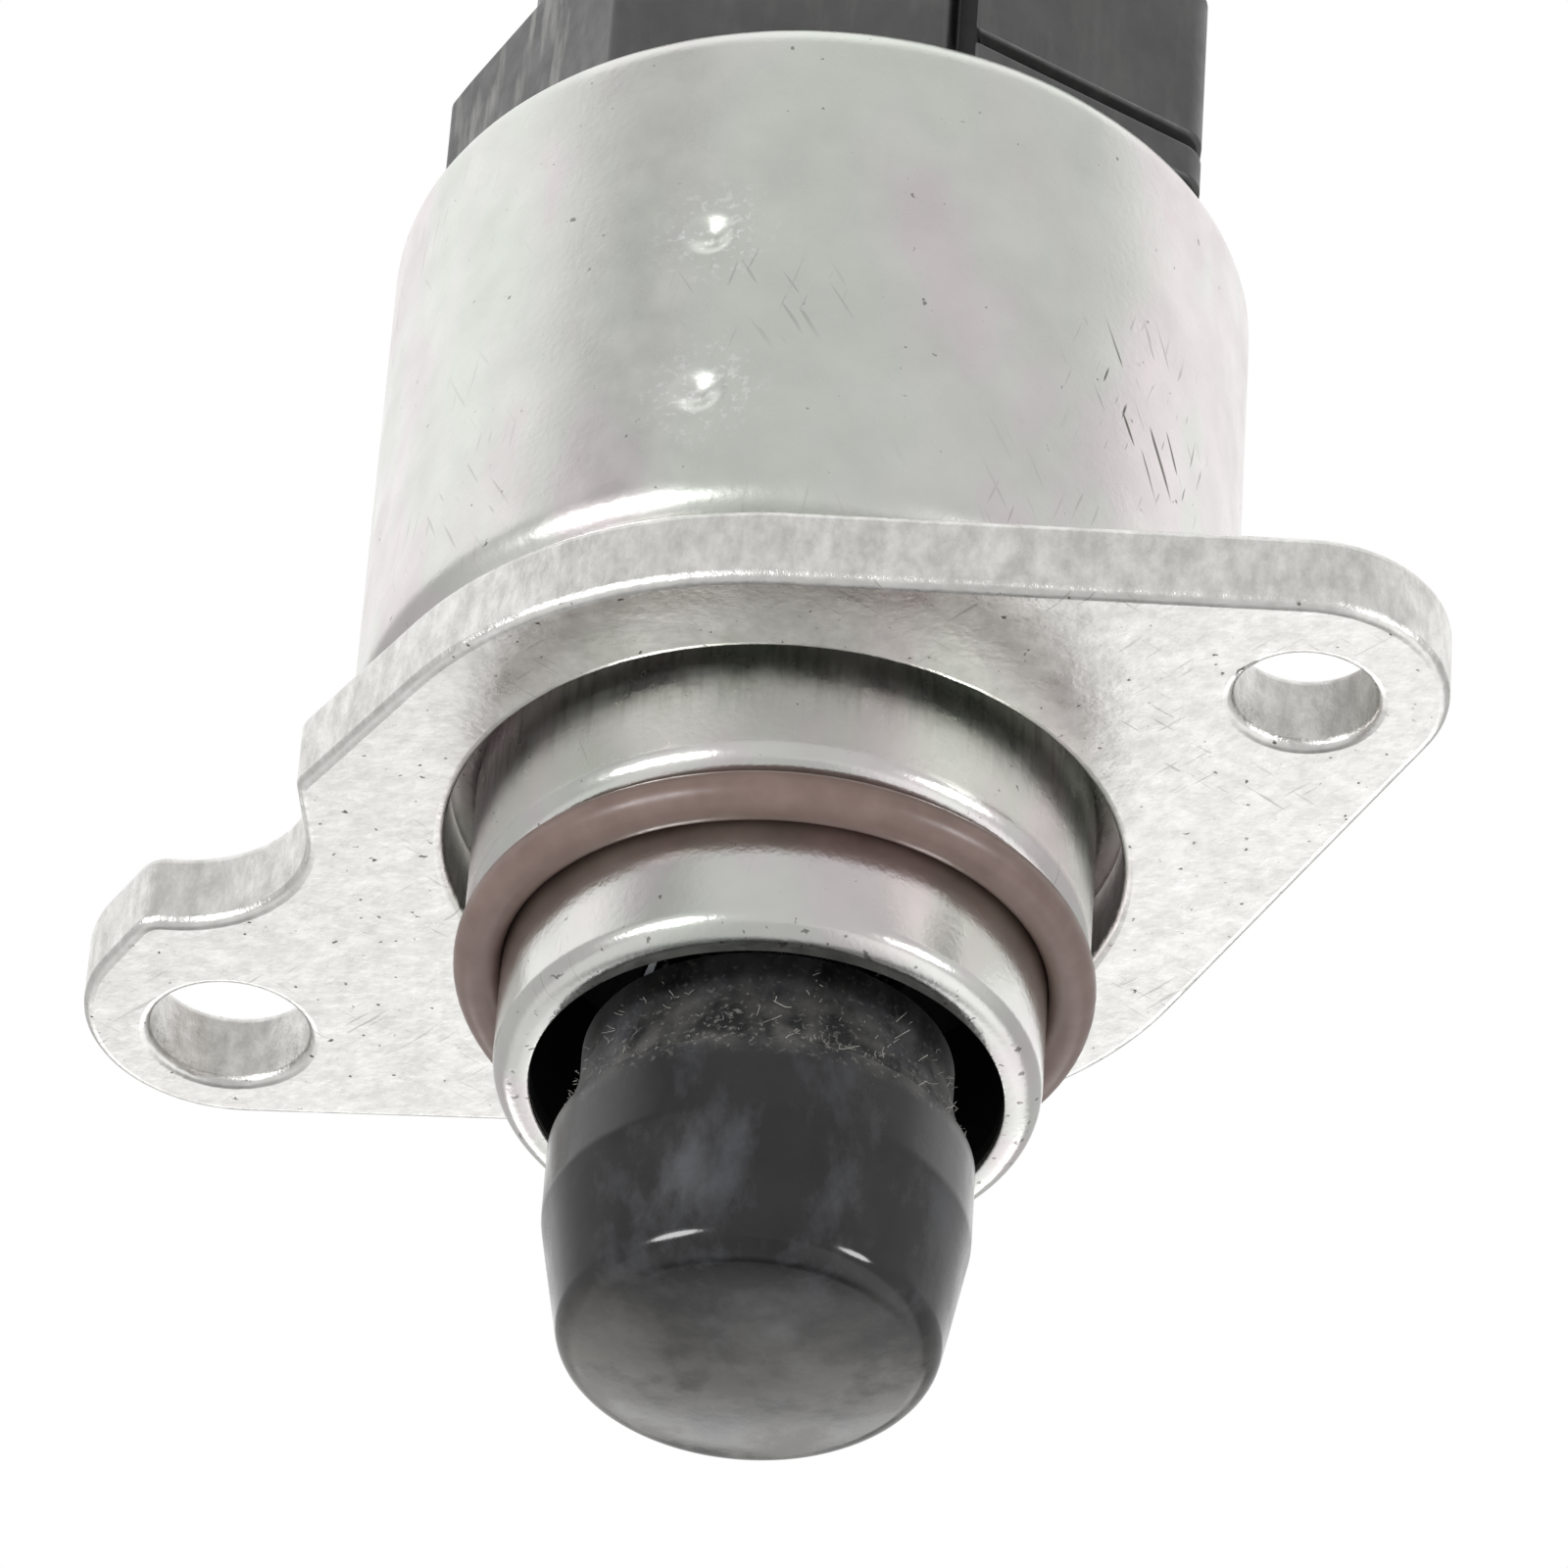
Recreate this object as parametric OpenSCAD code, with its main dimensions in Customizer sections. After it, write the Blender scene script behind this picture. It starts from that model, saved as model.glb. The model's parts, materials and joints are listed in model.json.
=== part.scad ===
// Idle air control valve: a stepper motor in a drawn steel can drives a plastic pintle
// out of the nose. The origin is on the valve axis at the mounting face. +Z points to the
// connector, the pintle points to -Z, and the connector's front face looks to -Y.

/* [Motor can] */
// Outer diameter of the drawn can
can_d = 34; // [33.4:0.1:38]
// Height of the rolled rim above the mounting face
can_h = 28.4; // [27:0.1:36]
// Thickness of the can's steel sheet
sheet_t = 1; // [0.8:0.05:1.1]
// Outside radius of the can's bottom bend
bottom_bend_r = 1.8; // [1.4:0.1:2.5]
// Outside radius of the rim that is rolled over the cap
rim_r = 1.4; // [1.2:0.1:1.6]
// How far the rolled rim reaches in over the cap's shoulder
rim_hold = 0.5; // [0.45:0.05:0.6]
// Diameter of each punched dimple in the can's wall
dimple_d = 1.9; // [1:0.1:2.4]
// Depth of each punched dimple
dimple_depth = 0.5; // [0.2:0.05:0.6]
// Height of the lower dimple above the mounting face
dimple_z = 9.5; // [8:0.1:12]
// Distance between the two dimples
dimple_pitch = 7.9; // [5:0.1:10]
// Direction of the dimples round the can, in degrees from +X
dimple_angle = -92.9; // [-180:0.1:180]

/* [Nose] */
// Width of the step between the nose tube and the hub that passes through the flange
hub_step = 1.55; // [1.4:0.05:1.9]
// How far the hub stands below the mounting face
hub_drop = 4.7; // [4:0.1:6]
// Outside radius of the bend at the hub's end
hub_bend_r = 1.2; // [0.6:0.1:1.2]
// Outside radius of the bend between the can's floor and the hub
neck_bend_r = 1; // [0.6:0.1:1.2]
// Outer diameter of the nose tube
tube_d = 20.8; // [20:0.1:21.1]
// Distance from the mounting face to the end of the nose tube
tube_drop = 11.2; // [10.4:0.1:14]
// Diameter of the mouth inside the tube's turned-in end
mouth_d = 17.93; // [17.3:0.01:18.2]
// Thickness of the O-ring's section
o_ring_cord = 1.84; // [1.5:0.02:2.2]
// Radial squeeze room: how far the O-ring stands proud of the hub
o_ring_proud = 0.29; // [0.1:0.01:0.4]

/* [Mounting flange] */
// Thickness of the flange plate
flange_t = 3.4; // [2.8:0.1:4.2]
// How far the flange's round body stands out past the can
flange_margin = 0.2; // [0.1:0.1:3]
// Clearance between the neck bend and the flange's centre hole
bore_gap = 0.07; // [0.05:0.01:0.5]
// Distance of the large bolt hole from the valve axis
large_hole_x = 25.1; // [24.4:0.1:30]
// Diameter of the large bolt hole
large_hole_d = 6.3; // [4.5:0.1:8]
// Distance of the small bolt hole from the valve axis
small_hole_x = 22.6; // [21.8:0.05:28]
// Diameter of the small bolt hole
small_hole_d = 5.4; // [4.3:0.1:7]
// Radius of the large ear's end
large_ear_r = 6.1; // [5.8:0.1:7]
// Radius of the small ear's end
small_ear_r = 5.6; // [4.8:0.1:7]
// Radius of the notch that clears the neighbouring casting
notch_r = 5.3; // [4.8:0.1:5.8]
// Angle from the connector's long side to the line of the bolt holes
ear_turn = -20; // [-90:0.1:90]

/* [Pintle] */
// Largest diameter of the pintle
pintle_d = 16.1; // [15:0.1:16.8]
// Distance from the mounting face to the pintle's tip at rest
tip_drop = 24; // [22.6:0.1:27]
// Diameter of the pintle's tip
tip_d = 14; // [12:0.1:14.8]
// Diameter of the skirt at the pintle's back
skirt_d = 14.1; // [13.2:0.1:14.8]
// Height of the straight band at the largest diameter
band_h = 3.2; // [0.5:0.1:4]
// Length of the taper from the band to the tip
taper_h = 6.4; // [5.4:0.1:7.2]
// Wall thickness of the hollow pintle
pintle_wall = 1.3; // [1:0.1:1.5]
// Travel that draws the pintle into the nose from rest
retract_travel = 7; // [5:0.1:7.5]
// Travel that pushes the pintle out further from rest
extend_travel = 2; // [1:0.1:2.5]

/* [Drive screw and rotor] */
// Diameter of the lead screw
screw_d = 5; // [4.4:0.1:5.2]
// Radial running clearance of the screw in its nut and its guide
screw_gap = 0.08; // [0.04:0.01:0.1]
// Depth of the flat along the screw that stops it turning
flat_depth = 0.5; // [0.3:0.05:0.8]
// Share of the can's inside radius that the ring magnet fills
magnet_share = 0.525; // [0.49:0.005:0.53]
// Wall thickness of the ring magnet
magnet_t = 2.4; // [1.6:0.1:2.7]
// Number of magnet poles round the rotor, and of claws that face them
poles = 12; // [8:4:16]
// Air gap between the magnet and the claws
air_gap = 0.3; // [0.3:0.05:0.5]
// Diameter of the rotor's journal in the front bearing
front_journal_d = 10.4; // [9.8:0.1:10.6]
// Diameter of the rotor's journal in the rear bush
rear_journal_d = 7; // [6.8:0.1:7.6]
// Radial running clearance of the rear journal
journal_gap = 0.05; // [0.03:0.01:0.1]

/* [Front bearing] */
// Width of the ball bearing
bearing_w = 4.5; // [4:0.1:5]
// Diameter of a bearing ball
ball_d = 2.8; // [2.4:0.1:2.8]
// Number of bearing balls
balls = 9; // [7:1:12]
// Running clearance between a ball and its grooves
ball_gap = 0.05; // [0.03:0.01:0.08]

/* [Stator] */
// Thickness of each claw-pole plate
plate_t = 1; // [0.8:0.05:1.2]
// Thickness of the moulded bobbin's walls
bobbin_wall = 0.8; // [0.6:0.05:1]
// Thickness of the copper wire with its enamel
wire_d = 0.34; // [0.25:0.01:0.5]
// How far the winding stays inside the bobbin's flanges
winding_inset = 0.9; // [0.5:0.1:2]

/* [Connector] */
// Height of the moulded cap's top above the mounting face
cap_top = 38.6; // [37:0.1:44]
// Thickness of the cap's disc inside the can
cap_disc_t = 4.1; // [3.9:0.1:4.6]
// Height of the plug socket above the cap's top
socket_h = 13; // [10:0.5:18]
// Inside length of the socket, along X
socket_x = 20; // [18:0.1:21]
// Inside width of the socket, along Y
socket_y = 9.8; // [9:0.1:11]
// Wall thickness of the socket
socket_wall = 1.8; // [1.2:0.1:2]
// Distance from blade to blade
blade_pitch = 4.6; // [4:0.1:4.8]
// Width of a terminal blade
blade_w = 1.5; // [1.2:0.1:2]
// Thickness of a terminal blade
blade_t = 0.64; // [0.5:0.02:0.8]

/* [Hidden] */
$fn = 96;

// Static seat between two round pieces that are pushed together
seat_gap = 0.02;
// Room kept between moving pieces where nothing guides them
free_gap = 0.3;
// Overlap that makes a cut go clear through a face
cut = 1;
// Steps in each rounded bend of a revolved outline
bend_steps = 6;
// Steps in each arc of the flange's outline
flange_steps = 32;

// Can and nose levels
can_r = can_d / 2;
can_in_r = can_r - sheet_t;
flange_r = can_r + flange_margin;
floor_in_z = flange_t + sheet_t;
rim_under_z = can_h - sheet_t;
rim_in_r = can_in_r - rim_hold;
tube_r = tube_d / 2;
hub_r = tube_r + hub_step;
hub_in_r = hub_r - sheet_t;
step_z = -hub_drop;
step_in_z = step_z + sheet_t;
tube_in_r = tube_r - sheet_t;
mouth_r = mouth_d / 2;
bore_r = hub_r + neck_bend_r + bore_gap;

// Front guide: a ring on the hub's step and a web with the screw's guide hole
guide_ring_t = 1.4;
guide_ring_h = 2.7;
guide_web_t = 1.4;
guide_boss_r = 3.5;
guide_boss_h = 0.8;
guide_top_z = step_in_z + guide_ring_h;
guide_front_z = guide_top_z - guide_web_t;

// Bearing radii
bearing_r = hub_in_r - seat_gap;
bearing_z = guide_top_z;
race_in_r = front_journal_d / 2 + seat_gap;
ball_pitch_r = (bearing_r + race_in_r) / 2;
groove_share = 0.36;
race_gap = ball_d * groove_share;
cage_t = 0.9;
cage_end_gap = 0.4;

// Screw and pintle levels
screw_r = screw_d / 2;
nut_r = screw_r + screw_gap;
pintle_r = pintle_d / 2;
tip_r = tip_d / 2;
skirt_r = skirt_d / 2;
tip_z = -tip_drop;
tip_edge_r = 1.3;
tip_dome_r = 33;
band_low_z = tip_z + taper_h;
band_top_z = band_low_z + band_h;
band_step = 0.45;
band_step_h = 0.15;
back_cone_h = 2.9;
skirt_z = guide_front_z - free_gap - retract_travel;
cup_r = skirt_r - pintle_wall;
cup_floor_t = 4.1;
spring_seat_z = tip_z + cup_floor_t;
stem_r = screw_r + pintle_wall;
stem_h = 3.4;
stem_top_z = spring_seat_z + stem_h;
screw_cover = 2.1;
screw_low_z = tip_z + screw_cover;
nut_lift = 0.5;
nut_z = bearing_z + bearing_w + nut_lift;
nut_h = 7.5;
screw_spare = 1.5;
screw_top_z = nut_z + nut_h + extend_travel + screw_spare;
flat_spare = 1;
flat_low_z = guide_front_z - extend_travel - retract_travel - 2 * flat_spare;
flat_top_z = guide_top_z + extend_travel + flat_spare;

// Spring between the guide's web and the floor of the hollow pintle
spring_wire_d = 0.7;
spring_skin = 0.01;
spring_r = (cup_r + stem_r) / 2;
spring_turns = 7.5;
spring_closed_turns = 1;
spring_steps = 20;
spring_sides = 8;

// Stator stack between the can's floor and the cap
stack_top_z = rim_under_z - cap_disc_t;
coil_h = (stack_top_z - floor_in_z - 4 * plate_t) / 2;
magnet_r = can_in_r * magnet_share;
claw_in_r = magnet_r + air_gap;
claw_t = 0.95;
claw_out_r = claw_in_r + claw_t;
slip_gap = 0.05;
plate_r = can_in_r - 2 * slip_gap;
front_plate_r = plate_r - (bottom_bend_r - sheet_t);
claw_tip_gap = 1;
claw_fill = 0.78;
claw_taper = 0.5;
claw_overlap = 0.25;
bobbin_in_r = claw_out_r + slip_gap;
bobbin_side_gap = 0.5;
bobbin_out_r = can_in_r - bobbin_side_gap;
bobbin_core_r = bobbin_in_r + bobbin_wall;
front_inner_z = floor_in_z + plate_t + coil_h;
rear_inner_z = front_inner_z + plate_t;
rear_outer_z = stack_top_z - plate_t;

// Rotor levels
magnet_in_r = magnet_r - magnet_t;
magnet_low_gap = 0.9;
magnet_top_gap = 1.4;
magnet_z = floor_in_z + magnet_low_gap;
magnet_top_z = stack_top_z - magnet_top_gap;
rotor_low_z = guide_top_z + free_gap;
shoulder_step = 1.1;
race_shoulder_z = bearing_z + bearing_w;
screw_room = 0.5;
screw_room_r = screw_r + screw_room;
rear_journal_r = rear_journal_d / 2;

// Cap, rear bush and seal
cap_disc_r = can_in_r - seat_gap;
washer_room = 0.75;
bush_z = magnet_top_z + washer_room;
bush_h = 3.4;
bush_in_r = rear_journal_r + journal_gap;
bush_wall = 1.6;
bush_out_r = bush_in_r + bush_wall;
bush_boss_wall = 1.3;
bush_boss_r = bush_out_r + bush_boss_wall;
recess_inset = 3.3;
recess_out_r = can_in_r - recess_inset;
recess_h = 2.3;
screw_end_gap = 1;
screw_room_z = max(screw_top_z + retract_travel + screw_end_gap, bush_z + bush_h + slip_gap);
seal_cord_r = 0.8;
seal_lift = 1.9;
seal_z = stack_top_z + seal_lift;
seal_r = can_in_r - seal_cord_r - seat_gap;
seal_groove_h = 1.9;
seal_groove_r = seal_r - seal_cord_r - seat_gap;

// Plan of the moulded cap: a block with slanted corners, wider on its right side, on a
// round neck inside the rim
neck_r = rim_in_r - 4 * seat_gap;
block_z = can_h + seat_gap;
block_left_x = -15.5;
block_right_x = 15.85;
block_front_y = -12.9;
left_slant = [9.05, 10.6];
right_slant = [7.75, 7.3];
// the right side leans in towards the back, by this angle
right_lean = 14;
left_corner_r = 0.9;
right_corner_r = 1.4;
slot_x = 7;
slot_w = 1.1;
slot_depth = 1.3;
shelf_z = 30.2;
shelf_gap_h = 0.55;
shelf_gap_depth = 0.9;

// Latch that the plug snaps over
latch_w = 6;
latch_d = 1.4;
latch_h = 1.8;
latch_drop = 5;
latch_root = 0.5;
socket_corner_r = 1;

// Terminals
blade_inset = 4.6;
blade_tip_z = cap_top + socket_h - blade_inset;
blade_tip_l = 1.2;
blade_tip_w = 0.8;
jog_depth = 5.2;
jog_z = cap_top - jog_depth;
jog_t = 0.8;
outer_leg_y = 8.6;
inner_leg_y = -9.2;
leg_gap = 0.6;
leg_low_z = stack_top_z + leg_gap;

steel = [0.78, 0.78, 0.76];
plate_steel = [0.9, 0.89, 0.88];
rubber = [0.56, 0.5, 0.48];
black_plastic = [0.2, 0.2, 0.21];
charcoal = [0.3, 0.3, 0.3];
natural_plastic = [0.86, 0.84, 0.76];
bright_steel = [0.7, 0.71, 0.73];
ferrite = [0.24, 0.23, 0.24];
copper = [0.72, 0.4, 0.22];
bronze = [0.66, 0.5, 0.3];
tin = [0.8, 0.8, 0.78];

function polar(r, a) = [r * cos(a), r * sin(a)];

// Points of an arc about a centre, from one angle to another
function bend(centre, r, from, to, steps = bend_steps) =
    [for (i = [0:steps]) centre + polar(r, from + (to - from) * i / steps)];

module ring(r_out, r_in, h, z = 0) {
    translate([0, 0, z]) difference() {
        cylinder(r = r_out, h = h);
        translate([0, 0, -cut]) cylinder(r = r_in, h = h + 2 * cut);
    }
}

// One drawn steel shell: can, floor, hub, step and nose tube with a turned-in end
module can_outline() {
    bottom_c = [can_r - bottom_bend_r, flange_t + bottom_bend_r];
    rim_c = [can_r - rim_r, can_h - rim_r];
    neck_c = [hub_r + neck_bend_r, flange_t - neck_bend_r];
    polygon(concat(
        [[rim_in_r, can_h]],
        bend(rim_c, rim_r, 90, 0),
        bend(bottom_c, bottom_bend_r, 0, -90),
        bend(neck_c, neck_bend_r, 90, 180),
        bend([hub_r - hub_bend_r, step_z + hub_bend_r], hub_bend_r, 0, -90),
        [[tube_r, step_z]],
        bend([tube_r - sheet_t, sheet_t - tube_drop], sheet_t, 0, -90),
        [[mouth_r, -tube_drop], [mouth_r, sheet_t - tube_drop]],
        [[tube_in_r, sheet_t - tube_drop], [tube_in_r, step_in_z], [hub_in_r, step_in_z]],
        bend(neck_c, neck_bend_r + sheet_t, 180, 90),
        bend(bottom_c, bottom_bend_r - sheet_t, -90, 0),
        bend(rim_c, rim_r - sheet_t, 0, 90),
        [[rim_in_r, rim_under_z]]
    ));
}

module motor_can() {
    ball_r = (dimple_depth + dimple_d * dimple_d / 4 / dimple_depth) / 2;
    color(steel) difference() {
        rotate_extrude() can_outline();
        for (i = [0, 1])
            rotate([0, 0, dimple_angle])
                translate([can_r + ball_r - dimple_depth, 0, dimple_z + i * dimple_pitch])
                    sphere(r = ball_r, $fn = 48);
    }
}

// Angle between the line of two circles' centres and the radius at their outer tangent
function lean(r1, r2, c2) = acos((r1 - r2) / norm(c2));

// Body circle with two ears on tangents to it, and a notch between the large ear and a lug
module flange_outline() {
    large_c = [0.8 - large_hole_x, -0.6];
    small_c = [small_hole_x - 0.1, -0.2];
    large_a = atan2(large_c[1], large_c[0]) + 360;
    small_a = atan2(small_c[1], small_c[0]);
    large_lean = lean(flange_r, large_ear_r, large_c);
    small_lean = lean(flange_r, small_ear_r, small_c);
    // Notch, and the rounded corners on each side of it
    notch_c = polar(flange_r + 6.48, 209.3);
    corner_r = 1.2;
    corner_a = 124;
    corner_c = notch_c + polar(notch_r + corner_r, corner_a);
    lug_r = 0.8;
    lug_a = 219.7;
    lug_c = polar(flange_r + 0.87, lug_a);
    to_corner = corner_c - large_c;
    to_lug = lug_c - notch_c;
    ear_end_a = atan2(to_corner[1], to_corner[0]) + 360
        - lean(large_ear_r, corner_r, to_corner);
    notch_end_a = atan2(to_lug[1], to_lug[0]) + lean(notch_r, -lug_r, to_lug);
    lug_end_a = lug_a + lean(flange_r, lug_r, lug_c);
    polygon(concat(
        bend(small_c, small_ear_r, small_a - small_lean, small_a + small_lean, flange_steps),
        bend([0, 0], flange_r, small_a + small_lean, large_a - large_lean, flange_steps),
        bend(large_c, large_ear_r, large_a - large_lean, ear_end_a, flange_steps),
        bend(corner_c, corner_r, ear_end_a, corner_a + 180),
        bend(notch_c, notch_r, corner_a, notch_end_a, flange_steps),
        bend(lug_c, lug_r, notch_end_a + 180, lug_end_a),
        bend([0, 0], flange_r, lug_end_a, 360 + small_a - small_lean, flange_steps)
    ));
}

module mounting_flange() {
    color(plate_steel) rotate([0, 0, ear_turn]) difference() {
        linear_extrude(height = flange_t) flange_outline();
        translate([0, 0, -cut]) cylinder(r = bore_r, h = flange_t + 2 * cut, $fn = 128);
        translate([-large_hole_x, 0, -cut]) cylinder(d = large_hole_d, h = flange_t + 2 * cut);
        translate([small_hole_x, 0, -cut]) cylinder(d = small_hole_d, h = flange_t + 2 * cut);
    }
}

// The O-ring sits on the nose tube, against the hub's step
module nose_o_ring() {
    cord_r = o_ring_cord / 2;
    ring_r = hub_r + o_ring_proud - cord_r;
    color(rubber) translate([0, 0, step_z - cord_r - seat_gap])
        rotate_extrude()
            intersection() {
                translate([ring_r, 0]) circle(r = cord_r, $fn = 48);
                translate([tube_r + seat_gap, -o_ring_cord]) square(2 * o_ring_cord);
            }
}

// Hollow valve head, moulded over the end of the lead screw
module pintle_head() {
    dome_c = [0, tip_z + tip_dome_r];
    edge_a = asin((tip_r - tip_edge_r) / (tip_dome_r - tip_edge_r)) - 90;
    edge_c = dome_c + polar(tip_dome_r - tip_edge_r, edge_a);
    taper_a = -atan2(pintle_r - tip_r, taper_h);
    color(black_plastic) rotate_extrude() polygon(concat(
        bend(dome_c, tip_dome_r, -90, edge_a),
        bend(edge_c, tip_edge_r, edge_a, taper_a),
        [[pintle_r, band_low_z], [pintle_r, band_top_z]],
        [[pintle_r - band_step, band_top_z + band_step_h]],
        [[skirt_r, band_top_z + back_cone_h], [skirt_r, skirt_z]],
        [[cup_r, skirt_z], [cup_r, spring_seat_z], [stem_r, spring_seat_z]],
        [[stem_r, stem_top_z], [screw_r + seat_gap, stem_top_z]],
        [[screw_r + seat_gap, screw_low_z - seat_gap], [0, screw_low_z - seat_gap]]
    ));
}

// Flat of the screw, as the block that a round bar loses along it
module screw_flat(low_z, top_z, gap) {
    translate([-screw_d, screw_r - flat_depth + gap, low_z])
        cube([2 * screw_d, screw_d, top_z - low_z]);
}

module lead_screw() {
    end_chamfer = 0.5;
    color(bright_steel) difference() {
        union() {
            translate([0, 0, screw_low_z])
                cylinder(r = screw_r, h = screw_top_z - end_chamfer - screw_low_z);
            translate([0, 0, screw_top_z - end_chamfer])
                cylinder(r1 = screw_r, r2 = screw_r - end_chamfer, h = end_chamfer);
        }
        screw_flat(flat_low_z, flat_top_z, 0);
    }
}

// Height of the spring's wire centre after a number of turns, with a closed turn at each end
function spring_rise(turn, low, high) =
    let (
        closed = spring_closed_turns * spring_wire_d,
        open_turns = spring_turns - 2 * spring_closed_turns,
        open_h = high - low - 2 * closed,
        past = turn - spring_closed_turns
    )
    past < 0 ? low + turn * spring_wire_d
    : past < open_turns ? low + closed + open_h * past / open_turns
    : high - (spring_turns - turn) * spring_wire_d;

module pintle_spring() {
    wire_r = spring_wire_d / 2 - spring_skin;
    low = spring_seat_z + spring_wire_d / 2 + seat_gap;
    high = guide_front_z - spring_wire_d / 2 - seat_gap;
    rings = spring_turns * spring_steps;
    points = [
        for (i = [0:rings], k = [0:spring_sides - 1])
            let (
                a = 360 * i / spring_steps,
                b = 360 * k / spring_sides,
                r = spring_r + wire_r * cos(b)
            )
            [r * cos(a), r * sin(a),
                spring_rise(i / spring_steps, low, high) + wire_r * sin(b)]
    ];
    sides = [
        for (i = [0:rings - 1], k = [0:spring_sides - 1])
            let (m = (k + 1) % spring_sides, p = i * spring_sides)
            [p + k, p + m, p + spring_sides + m, p + spring_sides + k]
    ];
    first = [for (k = [0:spring_sides - 1]) spring_sides - 1 - k];
    last = [for (k = [0:spring_sides - 1]) rings * spring_sides + k];
    color(bright_steel) polyhedron(points, concat(sides, [first, last]), convexity = 10);
}

// Front guide: its hole has the screw's flat, so the screw slides and can't turn
module guide_bush() {
    color(black_plastic) difference() {
        union() {
            ring(hub_in_r - seat_gap, hub_in_r - guide_ring_t, guide_ring_h, step_in_z);
            translate([0, 0, guide_front_z])
                cylinder(r = hub_in_r - seat_gap, h = guide_web_t);
            translate([0, 0, guide_front_z - guide_boss_h])
                cylinder(r = guide_boss_r, h = guide_boss_h + guide_web_t);
        }
        difference() {
            translate([0, 0, guide_front_z - guide_boss_h - cut])
                cylinder(r = nut_r, h = guide_boss_h + guide_web_t + 2 * cut);
            screw_flat(guide_front_z - guide_boss_h - 2 * cut, guide_top_z + 2 * cut,
                screw_gap);
        }
    }
}

// Ring of circles that the balls run in, grown by a clearance
module ball_track(gap) {
    rotate_extrude() translate([ball_pitch_r, 0]) circle(r = ball_d / 2 + gap, $fn = 48);
}

module race(r_out, r_in) {
    color(bright_steel) translate([0, 0, bearing_z + bearing_w / 2]) difference() {
        ring(r_out, r_in, bearing_w, -bearing_w / 2);
        ball_track(ball_gap);
    }
}

module bearing_outer_race() {
    race(bearing_r, ball_pitch_r + race_gap);
}

module bearing_inner_race() {
    race(ball_pitch_r - race_gap, race_in_r);
}

module place_balls() {
    for (i = [0:balls - 1])
        rotate([0, 0, 360 * i / balls])
            translate([ball_pitch_r, 0, bearing_z + bearing_w / 2]) children();
}

module bearing_balls() {
    color(bright_steel) place_balls() sphere(d = ball_d, $fn = 48);
}

module ball_cage() {
    color(bronze) difference() {
        ring(ball_pitch_r + cage_t / 2, ball_pitch_r - cage_t / 2,
            bearing_w - 2 * cage_end_gap, bearing_z + cage_end_gap);
        place_balls() sphere(d = ball_d + 4 * ball_gap, $fn = 48);
    }
}

// Moulded rotor body: front journal, shoulder, magnet seat and rear journal round the nut
module rotor_hub() {
    journal_r = front_journal_d / 2;
    seat_r = magnet_in_r - seat_gap;
    shoulder_r = journal_r + shoulder_step;
    mouth = 0.6;
    end_z = bush_z + bush_h - mouth;
    color(natural_plastic) rotate_extrude() polygon([
        [nut_r + mouth, rotor_low_z], [journal_r, rotor_low_z],
        [journal_r, race_shoulder_z], [shoulder_r, race_shoulder_z],
        [shoulder_r, magnet_z], [seat_r, magnet_z],
        [seat_r, magnet_top_z], [rear_journal_r, magnet_top_z],
        [rear_journal_r, end_z], [screw_room_r, end_z],
        [screw_room_r, nut_z + nut_h + mouth], [nut_r, nut_z + nut_h],
        [nut_r, nut_z], [nut_r + mouth, nut_z - mouth]
    ]);
}

module rotor_magnet() {
    color(ferrite) ring(magnet_r, magnet_in_r, magnet_top_z - magnet_z, magnet_z);
}

// Spring washer with three waves, between the rotor and the rear bush
module wave_washer() {
    low = magnet_top_z + seat_gap;
    high = bush_z - seat_gap;
    washer_t = 0.2;
    waves = 3;
    steps = 72;
    swing = (high - low - washer_t) / 2;
    r_in = rear_journal_r + screw_room / 2;
    r_out = bush_out_r + 2 * slip_gap;
    mid = (low + high - washer_t) / 2;
    points = [
        for (i = [0:steps - 1])
            let (a = 360 * i / steps, z = mid + swing * sin(waves * a))
            each [
                [r_in * cos(a), r_in * sin(a), z],
                [r_out * cos(a), r_out * sin(a), z],
                [r_out * cos(a), r_out * sin(a), z + washer_t],
                [r_in * cos(a), r_in * sin(a), z + washer_t]
            ]
    ];
    faces = [
        for (i = [0:steps - 1], k = [0:3])
            let (p = 4 * i, q = 4 * ((i + 1) % steps), m = (k + 1) % 4)
            each [[p + k, q + k, q + m], [p + k, q + m, p + m]]
    ];
    color(bright_steel) polyhedron(points, faces, convexity = 6);
}

module rear_bush() {
    color(bronze) ring(bush_out_r, bush_in_r, bush_h, bush_z);
}

// Steel ring with claws bent up from its inner edge; the claws interleave with their twin
module pole_plate(z, turn, up, r = plate_r) {
    claws = poles / 2;
    claw_h = plate_t + coil_h - claw_tip_gap;
    root_w = PI * claw_in_r * 2 / poles * claw_fill;
    tip_w = root_w * claw_taper;
    color(plate_steel) translate([0, 0, z]) mirror([0, 0, up ? 0 : 1])
        rotate([0, 0, turn]) union() {
            ring(r, claw_out_r - claw_overlap, plate_t);
            intersection() {
                ring(claw_out_r, claw_in_r, claw_h);
                for (i = [0:claws - 1])
                    rotate([0, 0, 360 * i / claws]) rotate([90, 0, 90])
                        linear_extrude(height = can_r)
                            polygon([
                                [-root_w / 2, -cut], [root_w / 2, -cut],
                                [root_w / 2, plate_t], [tip_w / 2, claw_h + cut],
                                [-tip_w / 2, claw_h + cut], [-root_w / 2, plate_t]
                            ]);
            }
        }
}

module front_outer_pole_plate() {
    pole_plate(floor_in_z, 0, true, front_plate_r);
}

module front_inner_pole_plate() {
    pole_plate(front_inner_z + plate_t, 360 / poles, false);
}

module rear_inner_pole_plate() {
    pole_plate(rear_inner_z, 180 / poles, true);
}

module rear_outer_pole_plate() {
    pole_plate(stack_top_z, 540 / poles, false);
}

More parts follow.
